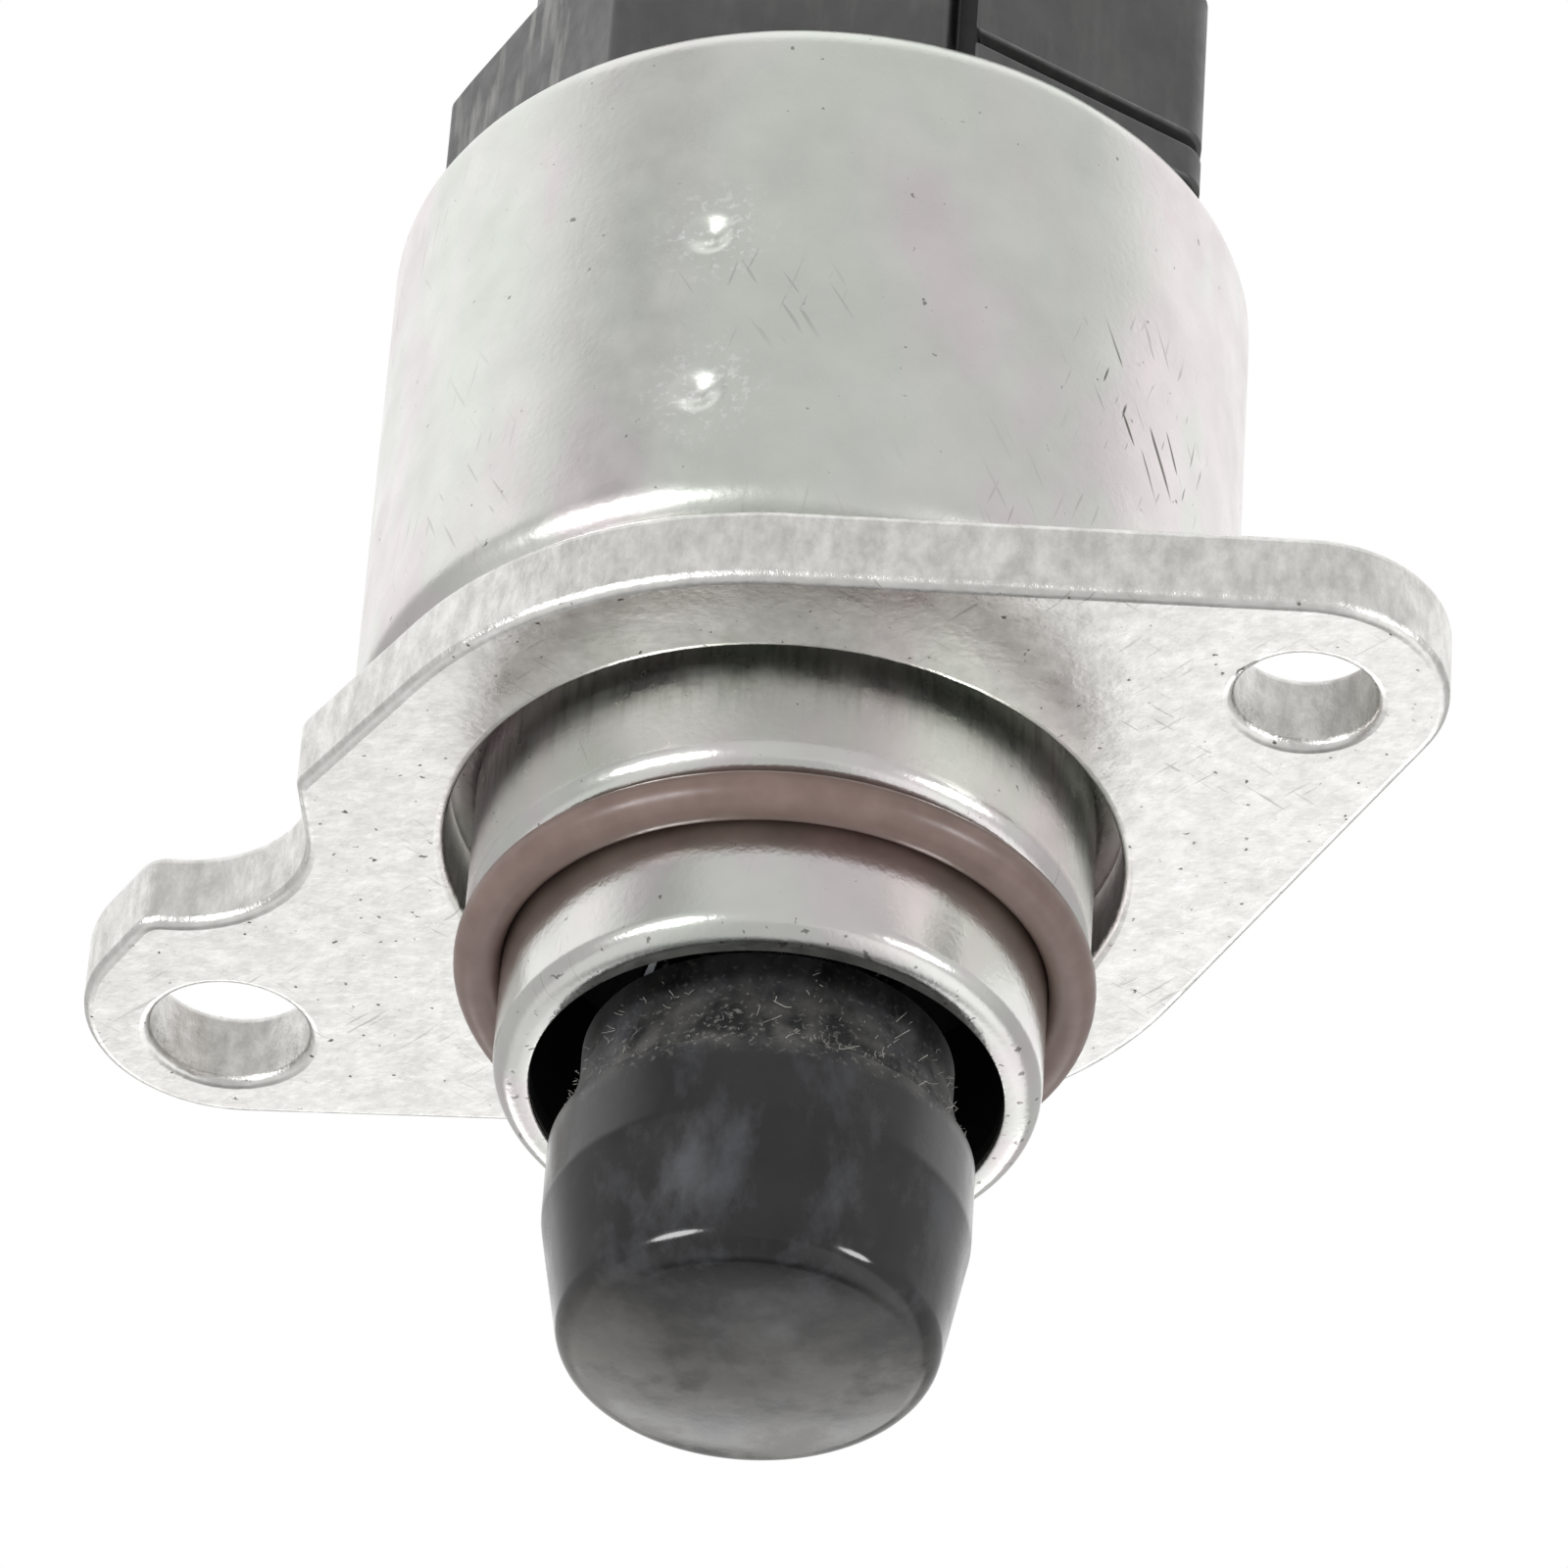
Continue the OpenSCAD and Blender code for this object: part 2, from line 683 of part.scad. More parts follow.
module bobbin(z) {
    color(natural_plastic) translate([0, 0, z]) rotate_extrude() polygon([
        [bobbin_in_r, 0], [bobbin_out_r, 0],
        [bobbin_out_r, bobbin_wall], [bobbin_core_r, bobbin_wall],
        [bobbin_core_r, coil_h - bobbin_wall], [bobbin_out_r, coil_h - bobbin_wall],
        [bobbin_out_r, coil_h], [bobbin_in_r, coil_h]
    ]);
}

// Winding with the last layer's turns showing as ridges
module winding(z) {
    low = bobbin_wall + seat_gap;
    high = coil_h - bobbin_wall - seat_gap;
    turns = floor((high - low) / wire_d);
    pitch = (high - low) / turns;
    crest_r = bobbin_out_r - winding_inset;
    valley_r = crest_r - wire_d * 0.4;
    color(copper) translate([0, 0, z]) rotate_extrude() polygon(concat(
        [[bobbin_core_r + seat_gap, low], [valley_r, low]],
        [for (i = [0:turns - 1], s = [0.3, 0.7, 1])
            [s < 1 ? crest_r : valley_r, low + pitch * (i + s)]],
        [[bobbin_core_r + seat_gap, high]]
    ));
}

module front_bobbin() {
    bobbin(floor_in_z + plate_t);
}

module front_winding() {
    winding(floor_in_z + plate_t);
}

module rear_bobbin() {
    bobbin(rear_inner_z + plate_t);
}

module rear_winding() {
    winding(rear_inner_z + plate_t);
}

module end_seal() {
    color(rubber) translate([0, 0, seal_z]) rotate_extrude()
        translate([seal_r, 0]) circle(r = seal_cord_r, $fn = 48);
}

// A front corner of the cap's plan: the slant, and the rounding where it meets the side
function slant_corner(side_x, slant, r, side) =
    let (
        turn = atan2(slant[1], slant[0]),
        c = [side_x - side * r, block_front_y + slant[1] + r * tan((90 - turn) / 2)],
        from = side > 0 ? turn - 90 : 180,
        to = side > 0 ? right_lean : 270 - turn
    )
    bend(c, r, from, to);

module cap_plan() {
    left = slant_corner(block_left_x, left_slant, left_corner_r, -1);
    right = slant_corner(block_right_x, right_slant, right_corner_r, 1);
    back_y = -block_front_y;
    lean_from = right[len(right) - 1];
    back_x = lean_from[0] - (back_y - lean_from[1]) * tan(right_lean);
    n = len(left) - 1;
    polygon(concat(
        left,
        [[block_left_x + left_slant[0], block_front_y]],
        [[block_right_x - right_slant[0], block_front_y]],
        right,
        [[back_x, back_y], [block_left_x + left_slant[0], back_y]],
        [for (i = [0:n]) [left[n - i][0], -left[n - i][1]]]
    ));
}

// Long round-ended block for the socket's walls and its hollow
module socket_block(x, y, r, z, h) {
    translate([0, 0, z]) linear_extrude(height = h)
        union() {
            square([x, y - 2 * r], center = true);
            square([x - 2 * r, y], center = true);
            for (sx = [-1, 1], sy = [-1, 1])
                translate([sx * (x / 2 - r), sy * (y / 2 - r)]) circle(r = r, $fn = 48);
        }
}

module terminal_shape(n) {
    x = (n - 2.5) * blade_pitch;
    outer = n == 1 || n == 4;
    leg_y = outer ? outer_leg_y : inner_leg_y;
    low_y = min(0, leg_y) - blade_t / 2;
    translate([x - blade_w / 2, -blade_t / 2, jog_z])
        cube([blade_w, blade_t, blade_tip_z - blade_tip_l - jog_z]);
    translate([x, -blade_t / 2, blade_tip_z - blade_tip_l]) rotate([-90, 0, 0])
        linear_extrude(height = blade_t) polygon([
            [-blade_w / 2, 0], [-blade_tip_w / 2, -blade_tip_l],
            [blade_tip_w / 2, -blade_tip_l], [blade_w / 2, 0]
        ]);
    translate([x - blade_w / 2, low_y, jog_z]) cube([blade_w, abs(leg_y) + blade_t, jog_t]);
    translate([x - blade_w / 2, leg_y - blade_t / 2, leg_low_z])
        cube([blade_w, blade_t, jog_z + jog_t - leg_low_z]);
}

module terminal(n) {
    color(tin) union() terminal_shape(n);
}

module terminal_1() {
    terminal(1);
}

module terminal_2() {
    terminal(2);
}

module terminal_3() {
    terminal(3);
}

module terminal_4() {
    terminal(4);
}

// Moulded cap that closes the can and carries the plug socket
module connector_housing() {
    color(charcoal) difference() {
        union() {
            translate([0, 0, stack_top_z]) cylinder(r = cap_disc_r, h = cap_disc_t);
            // Round neck, cut to the block's plan
            translate([0, 0, rim_under_z]) linear_extrude(height = block_z - rim_under_z)
                intersection() {
                    circle(r = neck_r);
                    cap_plan();
                }
            translate([0, 0, block_z]) linear_extrude(height = cap_top - block_z) cap_plan();
            socket_block(socket_x + 2 * socket_wall, socket_y + 2 * socket_wall,
                socket_wall + socket_corner_r, cap_top, socket_h);
            translate([-latch_w / 2, -socket_y / 2 - socket_wall - latch_d,
                cap_top + socket_h - latch_drop])
                cube([latch_w, latch_d + latch_root, latch_h]);
        }
        // Socket hollow
        socket_block(socket_x, socket_y, socket_corner_r, cap_top, socket_h + cut);
        // Seal groove
        ring(can_r, seal_groove_r, seal_groove_h, seal_z - seal_groove_h / 2);
        // Recess for the coil joints, round the bush boss
        ring(recess_out_r, bush_boss_r, recess_h + cut, stack_top_z - cut);
        // Bush seat and room for the screw's end
        translate([0, 0, stack_top_z - cut])
            cylinder(r = bush_out_r + seat_gap, h = bush_z + bush_h - stack_top_z + cut);
        translate([0, 0, stack_top_z])
            cylinder(r = screw_room_r, h = screw_room_z - stack_top_z);
        // Slot in the front face and gap under the right block
        translate([slot_x, -can_r, rim_under_z])
            cube([slot_w, can_r + block_front_y + slot_depth, cap_top - rim_under_z + cut]);
        difference() {
            translate([slot_x + slot_w, -can_r, shelf_z]) cube([can_d, can_r, shelf_gap_h]);
            translate([0, 0, shelf_z - cut]) linear_extrude(height = shelf_gap_h + 2 * cut)
                scale((block_right_x - shelf_gap_depth) / block_right_x) cap_plan();
        }
        for (n = [1:4]) terminal_shape(n);
    }
}

motor_can();
mounting_flange();
nose_o_ring();
pintle_head();
lead_screw();
pintle_spring();
guide_bush();
bearing_outer_race();
bearing_inner_race();
bearing_balls();
ball_cage();
rotor_hub();
rotor_magnet();
wave_washer();
rear_bush();
front_outer_pole_plate();
front_bobbin();
front_winding();
front_inner_pole_plate();
rear_inner_pole_plate();
rear_bobbin();
rear_winding();
rear_outer_pole_plate();
end_seal();
connector_housing();
terminal_1();
terminal_2();
terminal_3();
terminal_4();
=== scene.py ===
"""Idle air control valve: finishes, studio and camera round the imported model.

All lengths are in metres unless a name ends in _MM. The origin is on the valve axis at the
flange's mounting face, +Z points to the plug socket and the cap's front face looks to -Y.
"""

import json
import math
import random

import bmesh
import bpy
from mathutils import Matrix, Quaternion, Vector


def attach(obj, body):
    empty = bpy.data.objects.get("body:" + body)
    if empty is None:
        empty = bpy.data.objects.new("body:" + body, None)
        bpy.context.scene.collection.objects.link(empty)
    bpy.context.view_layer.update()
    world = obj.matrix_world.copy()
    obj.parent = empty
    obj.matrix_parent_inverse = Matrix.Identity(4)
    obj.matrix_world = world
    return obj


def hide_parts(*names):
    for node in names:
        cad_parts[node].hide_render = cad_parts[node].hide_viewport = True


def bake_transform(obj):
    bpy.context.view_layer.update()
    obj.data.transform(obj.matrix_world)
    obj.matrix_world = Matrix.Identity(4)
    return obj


MM = 0.001


def feed(tree, item, inputs):
    """Gives a node's inputs their values. A node stands for its first output in use."""
    for name, value in inputs.items():
        if isinstance(value, bpy.types.Node):
            value = next(socket for socket in value.outputs if socket.enabled)
        if isinstance(value, bpy.types.NodeSocket):
            tree.links.new(value, item.inputs[name])
        else:
            item.inputs[name].default_value = value


def add(tree, kind, inputs=None, **settings):
    """Adds a shader node with its settings and links."""
    item = tree.nodes.new("ShaderNode" + kind)
    for name, value in settings.items():
        setattr(item, name, value)
    feed(tree, item, inputs or {})
    return item


def paint(code, alpha=1.0):
    """An sRGB hex colour as the linear colour that a shader takes."""
    channels = [int(code[i : i + 2], 16) / 255 for i in (1, 3, 5)]
    linear = [c / 12.92 if c <= 0.04045 else ((c + 0.055) / 1.055) ** 2.4 for c in channels]
    return (*linear, alpha)


def size_mm(feature):
    """The Scale of a noise whose patches are about this many millimetres across."""
    return 1.0 / (feature * MM)


def new_finish(name, **constants):
    """A material with one Principled shader, and its tree, shader and object coordinates."""
    material = bpy.data.materials.new(name)
    material.use_nodes = True
    tree = material.node_tree
    shader = tree.nodes["Principled BSDF"]
    for socket, value in constants.items():
        shader.inputs[socket.replace("_", " ")].default_value = value
    where = add(tree, "TexCoord").outputs["Object"]
    return material, tree, shader, where


def patches(tree, where, feature_mm, low=0.0, high=1.0, least=0.0, most=1.0,
            detail=3.0, roughness=0.55, distortion=0.0):
    """Soft-edged patches about feature_mm across, as a value from least to most."""
    grain = add(tree, "TexNoise", {
        "Vector": where, "Scale": size_mm(feature_mm), "Detail": detail,
        "Roughness": roughness, "Distortion": distortion})
    return add(tree, "MapRange", {
        "Value": grain, "From Min": low, "From Max": high, "To Min": least, "To Max": most})


def laid_over(tree, colour, code, *masks):
    """A colour with a paint laid over it where all the masks meet."""
    share = masks[0]
    for mask in masks[1:]:
        share = add(tree, "Math", {0: share, 1: mask}, operation="MULTIPLY")
    return add(tree, "Mix", {0: share, 6: colour, 7: paint(code)}, data_type="RGBA")


def relief(tree, shader, *layers):
    """Bumps on top of each other, each from a height pattern and its depth in millimetres."""
    under = {}
    for height, depth_mm in layers:
        bump = add(tree, "Bump", {"Height": height, "Distance": depth_mm * MM, **under})
        under = {"Normal": bump}
    feed(tree, shader, under)


def round_axis(tree, where):
    """Distance from the valve axis, and the coordinates, of a surface point."""
    place = add(tree, "SeparateXYZ", {"Vector": where}).outputs
    flat = add(tree, "CombineXYZ", {"X": place["X"], "Y": place["Y"]})
    radius = add(tree, "VectorMath", {0: flat}, operation="LENGTH")
    return radius, place


def near(tree, where, centre_mm, full_mm, none_mm):
    """1 within full_mm of a point, falling to 0 at none_mm."""
    centre = tuple(v * MM for v in centre_mm)
    away = add(tree, "VectorMath", {0: where, 1: centre}, operation="DISTANCE")
    return add(tree, "MapRange", {
        "Value": away, "From Min": none_mm * MM, "From Max": full_mm * MM})


def strokes(tree, sheet, slant, width_mm, length_mm):
    """Short thin scratches, all slanted one way, on coordinates that lie flat as a sheet."""
    turned = add(tree, "Mapping", {
        "Vector": sheet, "Rotation": (0.0, 0.0, math.radians(slant))})
    drawn_out = add(tree, "Mapping", {
        "Vector": turned, "Scale": (width_mm / length_mm, 1.0, 1.0)})
    return patches(tree, drawn_out, width_mm, 0.67, 0.71, detail=1, distortion=0.3)


CAN_R_MM = 17.0
DIMPLE_HEIGHTS_MM = (9.5, 17.4)
DIMPLE_ANGLE = math.radians(-92.9)
CAN_SIDE_MM = 12.0
CAN_MIDDLE_MM = 4.0
SCRATCHED_MM = (14.9, -8.2, 14.0)
WORN_FROM_MM = -10.2
WORN_FULL_MM = -10.7
PLATE_TOP_MM = 3.4
HUB_TOP_MM = 0.2
HUB_LOW_MM = -2.6
NOSE_TOP_MM = -3.4
TUBE_INSIDE_MM = 9.5
TUBE_END_MM = -11.15


def drawn_zinc_steel():
    """Deep-drawn steel with bright passivated zinc: satin, with soft pink and green bands."""
    material, tree, shader, where = new_finish("drawn_zinc_steel", Metallic=1.0)
    radius, place = round_axis(tree, where)
    height = place["Z"]

    # The film is pink at the sides, grey between and green in the middle
    aside = add(tree, "Math", {0: place["X"]}, operation="ABSOLUTE")
    middle = add(tree, "MapRange", {
        "Value": aside, "From Min": CAN_SIDE_MM * MM, "From Max": CAN_MIDDLE_MM * MM,
        "To Min": -0.08, "To Max": 0.06})
    upright = add(tree, "Mapping", {"Vector": where, "Scale": (1.0, 1.0, 0.5)})
    tint = add(tree, "Math", {0: patches(tree, upright, 7), 1: middle}, operation="ADD")
    grey = add(tree, "MapRange", {"Value": tint, "From Min": 0.38, "From Max": 0.47})
    green = add(tree, "MapRange", {"Value": tint, "From Min": 0.53, "From Max": 0.61})
    colour = laid_over(tree, paint("#E0D8D9"), "#DDDDD9", grey)
    colour = laid_over(tree, colour, "#D8DDD5", green)
    cloud = patches(tree, where, 3.5, 0.35, 0.7, most=0.3, detail=6)
    colour = laid_over(tree, colour, "#BFBFBA", cloud)

    # Dark specks, more of them on the worn mouth of the tube
    at_mouth = add(tree, "MapRange", {
        "Value": height, "From Min": WORN_FROM_MM * MM, "From Max": WORN_FULL_MM * MM,
        "To Max": 0.075})
    speckle = add(tree, "Math", {0: patches(tree, where, 0.5, detail=2), 1: at_mouth},
                  operation="ADD")
    specks = add(tree, "MapRange", {
        "Value": speckle, "From Min": 0.73, "From Max": 0.77, "To Max": 0.7})
    colour = laid_over(tree, colour, "#6A6862", specks)

    # Scratches on the wall, which is unrolled to a sheet: one cluster and a few elsewhere
    front = add(tree, "Math", {0: place["Y"], 1: -1.0}, operation="MULTIPLY")
    turn = add(tree, "Math", {0: place["X"], 1: front}, operation="ARCTAN2")
    along = add(tree, "Math", {0: turn, 1: CAN_R_MM * MM}, operation="MULTIPLY")
    sheet = add(tree, "CombineXYZ", {"X": along, "Y": height})
    scratches = add(tree, "Math", {
        0: strokes(tree, sheet, 60, 0.3, 4.0), 1: strokes(tree, sheet, -75, 0.26, 3.0)},
        operation="MAXIMUM")
    cluster = near(tree, where, SCRATCHED_MM, 2.5, 5.0)
    elsewhere = patches(tree, where, 9, 0.55, 0.68, most=0.25, detail=1)
    shown = add(tree, "Math", {0: cluster, 1: elsewhere}, operation="MAXIMUM")
    colour = laid_over(tree, colour, "#6F6D67", scratches, shown)

    # Painted glints: near-white specks round the dimples
    for dimple in DIMPLE_HEIGHTS_MM:
        centre = (CAN_R_MM * math.cos(DIMPLE_ANGLE), CAN_R_MM * math.sin(DIMPLE_ANGLE), dimple)
        grains = patches(tree, where, 0.3, 0.55, 0.66, most=0.8, detail=2)
        colour = laid_over(tree, colour, "#F7F7F5", near(tree, where, centre, 0.7, 3.0), grains)

    # Draw marks run along the hub; painted shade darkens them where the hub comes out of the plate
    streaked = add(tree, "Mapping", {"Vector": where, "Scale": (1.0, 1.0, 0.16)})
    streaks = patches(tree, streaked, 0.4, 0.45, 0.68, detail=6)
    hub_shade = add(tree, "MapRange", {
        "Value": height, "From Min": HUB_LOW_MM * MM, "From Max": HUB_TOP_MM * MM,
        "To Max": 0.42})
    below_plate = add(tree, "MapRange", {
        "Value": height, "From Min": PLATE_TOP_MM * MM, "From Max": (PLATE_TOP_MM - 0.4) * MM})
    hub_shade = add(tree, "Math", {0: hub_shade, 1: below_plate}, operation="MULTIPLY")
    # Painted shade next to the plate, laid over the draw marks
    drawn = add(tree, "Math", {0: streaks, 1: hub_shade}, operation="MULTIPLY")
    colour = laid_over(tree, colour, "#7A7A73", drawn)

    # Painted shade inside the nose tube: near-black, and not metal there
    inside = add(tree, "MapRange", {
        "Value": radius, "From Min": TUBE_INSIDE_MM * MM,
        "From Max": (TUBE_INSIDE_MM - 0.05) * MM})
    above_end = add(tree, "MapRange", {
        "Value": height, "From Min": TUBE_END_MM * MM, "From Max": (TUBE_END_MM + 0.3) * MM})
    painted_tube_shade = add(tree, "Math", {0: inside, 1: above_end}, operation="MULTIPLY")
    colour = laid_over(tree, colour, "#1B1A19", painted_tube_shade)
    metal = add(tree, "Math", {0: 1.0, 1: painted_tube_shade}, operation="SUBTRACT")

    on_nose = add(tree, "MapRange", {
        "Value": height, "From Min": NOSE_TOP_MM * MM, "From Max": (NOSE_TOP_MM - 0.4) * MM,
        "To Min": 1.0, "To Max": 0.62})
    satin = patches(tree, where, 2.0, 0.3, 0.7, 0.24, 0.36, detail=6)
    satin = add(tree, "Math", {0: satin, 1: on_nose}, operation="MULTIPLY")
    tube_shade_roughness = add(tree, "Math", {0: painted_tube_shade, 1: 0.7}, operation="MULTIPLY")
    rough = add(tree, "Math", {0: satin, 1: tube_shade_roughness}, operation="MAXIMUM")
    feed(tree, shader, {"Base Color": colour, "Metallic": metal, "Roughness": rough})

    # The zinc's crystals are too fine to show, so they are drawn 0.3 mm wide
    relief(tree, shader, (patches(tree, where, 7, detail=1), 0.06), (drawn, 0.02),
           (patches(tree, where, 0.3, detail=4), 0.012))
    return material


def flange_zinc_steel():
    """Stamped plate with bright zinc: almost white, faintly mottled, dark pin-point specks."""
    material, tree, shader, where = new_finish("flange_zinc_steel", Metallic=1.0)
    cloud = patches(tree, where, 2.0, 0.38, 0.66, most=0.75, detail=8, roughness=0.65)
    fine = patches(tree, where, 0.7, 0.42, 0.64, most=0.4, detail=5, roughness=0.6)
    colour = laid_over(tree, paint("#F0EFEC"), "#DDDCD8", cloud)
    colour = laid_over(tree, colour, "#C9C8C4", fine)
    colour = laid_over(tree, colour, "#6B6862", patches(tree, where, 0.5, 0.69, 0.735, detail=2))
    sheet = add(tree, "Mapping", {"Vector": where, "Scale": (1.0, 1.0, 0.0)})
    scratches = add(tree, "Math", {
        0: strokes(tree, sheet, 35, 0.24, 3.5), 1: strokes(tree, sheet, -50, 0.2, 2.5)},
        operation="MAXIMUM")
    shown = patches(tree, where, 6, 0.52, 0.64, most=0.4, detail=1)
    colour = laid_over(tree, colour, "#86837C", scratches, shown)

    # The sheared side is greyer and grained across the plate
    facing = add(tree, "SeparateXYZ", {"Vector": add(tree, "NewGeometry").outputs["Normal"]})
    upright = add(tree, "Math", {0: facing.outputs["Z"]}, operation="ABSOLUTE")
    side = add(tree, "MapRange", {"Value": upright, "From Min": 0.75, "From Max": 0.4})
    grained = add(tree, "Mapping", {"Vector": where, "Scale": (1.0, 1.0, 0.55)})
    torn = patches(tree, grained, 0.8, detail=6, roughness=0.65)
    torn_share = add(tree, "MapRange", {"Value": torn, "From Min": 0.35, "From Max": 0.65})
    torn_colour = laid_over(tree, paint("#CDCCC8"), "#F0EFEC", torn_share)
    colour = add(tree, "Mix", {0: side, 6: colour, 7: torn_colour}, data_type="RGBA")

    satin = patches(tree, where, 1.6, 0.3, 0.7, 0.24, 0.38, detail=6)
    dull = add(tree, "Math", {0: side, 1: 0.36}, operation="MULTIPLY")
    rough = add(tree, "Math", {0: satin, 1: dull}, operation="MAXIMUM")
    feed(tree, shader, {"Base Color": colour, "Roughness": rough})

    # The edge between face and side is rolled and uneven. The crystals are drawn 0.3 mm wide
    off_side = add(tree, "MapRange", {"Value": upright, "From Min": 0.08, "From Max": 0.3})
    off_face = add(tree, "MapRange", {"Value": upright, "From Min": 0.995, "From Max": 0.9})
    rolled = add(tree, "Math", {0: off_side, 1: off_face}, operation="MULTIPLY")
    waves = patches(tree, where, 1.5, detail=2, roughness=0.5)
    uneven = add(tree, "Math", {0: waves, 1: rolled}, operation="MULTIPLY")
    torn_side = add(tree, "Math", {0: torn, 1: side}, operation="MULTIPLY")
    relief(tree, shader, (torn_side, 0.10), (uneven, 0.07),
           (patches(tree, where, 1.3, detail=4), 0.03),
           (patches(tree, where, 0.3, detail=4), 0.012))
    return material


def o_ring_rubber():
    """Brown-mauve fluoro rubber: soft satin from its mould, with faint dust."""
    material, tree, shader, where = new_finish("o_ring_rubber", IOR=1.5)
    cloud = patches(tree, where, 1.5, 0.3, 0.7, detail=4)
    colour = laid_over(tree, paint("#6A5751"), "#78655F", cloud)
    rough = patches(tree, where, 0.8, 0.3, 0.7, 0.28, 0.4, detail=4)
    feed(tree, shader, {"Base Color": colour, "Roughness": rough})
    # The mould's grit is too fine to show, so it is drawn 0.3 mm wide
    relief(tree, shader, (patches(tree, where, 0.3), 0.005))
    return material


BAND_TOP_MM = -14.3
CLEAN_BELOW_MM = -15.2
DUSTY_FROM_MM = -11.0
DUSTY_FULL_MM = -13.6
GLOSSY_FROM_MM = -21.2
GLOSSY_FULL_MM = -22.6
TIP_FILM_MM = -22.5
TOWARDS_BACK = (-0.215, 0.977, 0.0)


def pintle_plastic():
    """Black moulded thermoplastic: gloss rubbed to satin, with lint and dust above its band."""
    material, tree, shader, where = new_finish(
        "pintle_plastic", IOR=1.5, Sheen_Weight=0.35, Sheen_Roughness=0.3)
    radius, place = round_axis(tree, where)
    height = place["Z"]
    cloud = patches(tree, where, 2.2, 0.35, 0.7, detail=5)
    colour = laid_over(tree, paint("#0C0C0E"), "#161618", cloud)

    # Dust lies behind the band, thickest at its edge
    behind = add(tree, "MapRange", {
        "Value": height, "From Min": CLEAN_BELOW_MM * MM, "From Max": BAND_TOP_MM * MM,
        "To Min": 0.02})
    grains = patches(tree, where, 0.24, 0.54, 0.66, most=0.55, detail=6, roughness=0.65)
    haze = patches(tree, where, 1.6, 0.4, 0.7, most=0.3, detail=6)
    dust = add(tree, "Math", {0: grains, 1: haze}, operation="MAXIMUM")
    thicker = add(tree, "MapRange", {
        "Value": height, "From Min": DUSTY_FROM_MM * MM, "From Max": DUSTY_FULL_MM * MM,
        "To Min": 0.35})
    colour = laid_over(tree, colour, "#96948F", dust, behind, thicker)

    # The taper is rubbed in patches
    upright = add(tree, "Mapping", {"Vector": where, "Scale": (1.0, 1.0, 0.55)})
    rubbed = patches(tree, upright, 3.0, detail=7, roughness=0.62)
    paler = add(tree, "MapRange", {
        "Value": rubbed, "From Min": 0.5, "From Max": 0.7, "To Max": 0.2})
    colour = laid_over(tree, colour, "#74767E", paler)

    # The tip carries a pale film in patches, thinner in its middle; its paling towards the back,
    # away from the camera, is painted light
    tip = add(tree, "MapRange", {
        "Value": height, "From Min": TIP_FILM_MM * MM, "From Max": (TIP_FILM_MM - 0.8) * MM})
    # Painted light: the film is made stronger towards the back
    back = add(tree, "VectorMath", {0: where, 1: TOWARDS_BACK}, operation="DOT_PRODUCT")
    back = add(tree, "MapRange", {
        "Value": back, "From Min": -5.0 * MM, "From Max": 0.5 * MM, "To Min": 0.05})
    outer = add(tree, "MapRange", {
        "Value": radius, "From Min": 1.5 * MM, "From Max": 6.0 * MM, "To Min": 0.55})
    film = patches(tree, where, 4.5, 0.40, 0.56, 0.15, detail=6, roughness=0.6)
    for mask in (back, outer, tip):
        film = add(tree, "Math", {0: film, 1: mask}, operation="MULTIPLY")
    film_and_painted_light = add(tree, "Math", {0: film, 1: 0.27}, operation="MULTIPLY")
    colour = laid_over(tree, colour, "#A8A49C", film_and_painted_light)

    smear = add(tree, "MapRange", {
        "Value": rubbed, "From Min": 0.36, "From Max": 0.64, "To Min": 0.14, "To Max": 0.38})
    glossy = add(tree, "MapRange", {
        "Value": height, "From Min": GLOSSY_FROM_MM * MM, "From Max": GLOSSY_FULL_MM * MM,
        "To Min": 1.0, "To Max": 0.5})
    rough = add(tree, "Math", {0: smear, 1: glossy}, operation="MULTIPLY")
    for mask, dullness in ((behind, 0.6), (film, 0.36)):
        dull = add(tree, "Math", {0: mask, 1: dullness}, operation="MULTIPLY")
        rough = add(tree, "Math", {0: rough, 1: dull}, operation="MAXIMUM")
    feed(tree, shader, {"Base Color": colour, "Roughness": rough})
    relief(tree, shader, (patches(tree, where, 0.6, detail=4), 0.006))
    return material


SCUFFED_BEYOND_MM = -7.5
SCUFF_SLANT = math.radians(-38)
SLOT_X_MM = 7.55
SLOT_FRONT_MM = -12.8
SLOT_BACK_MM = -11.0
SOCKET_FOOT_MM = 38.6


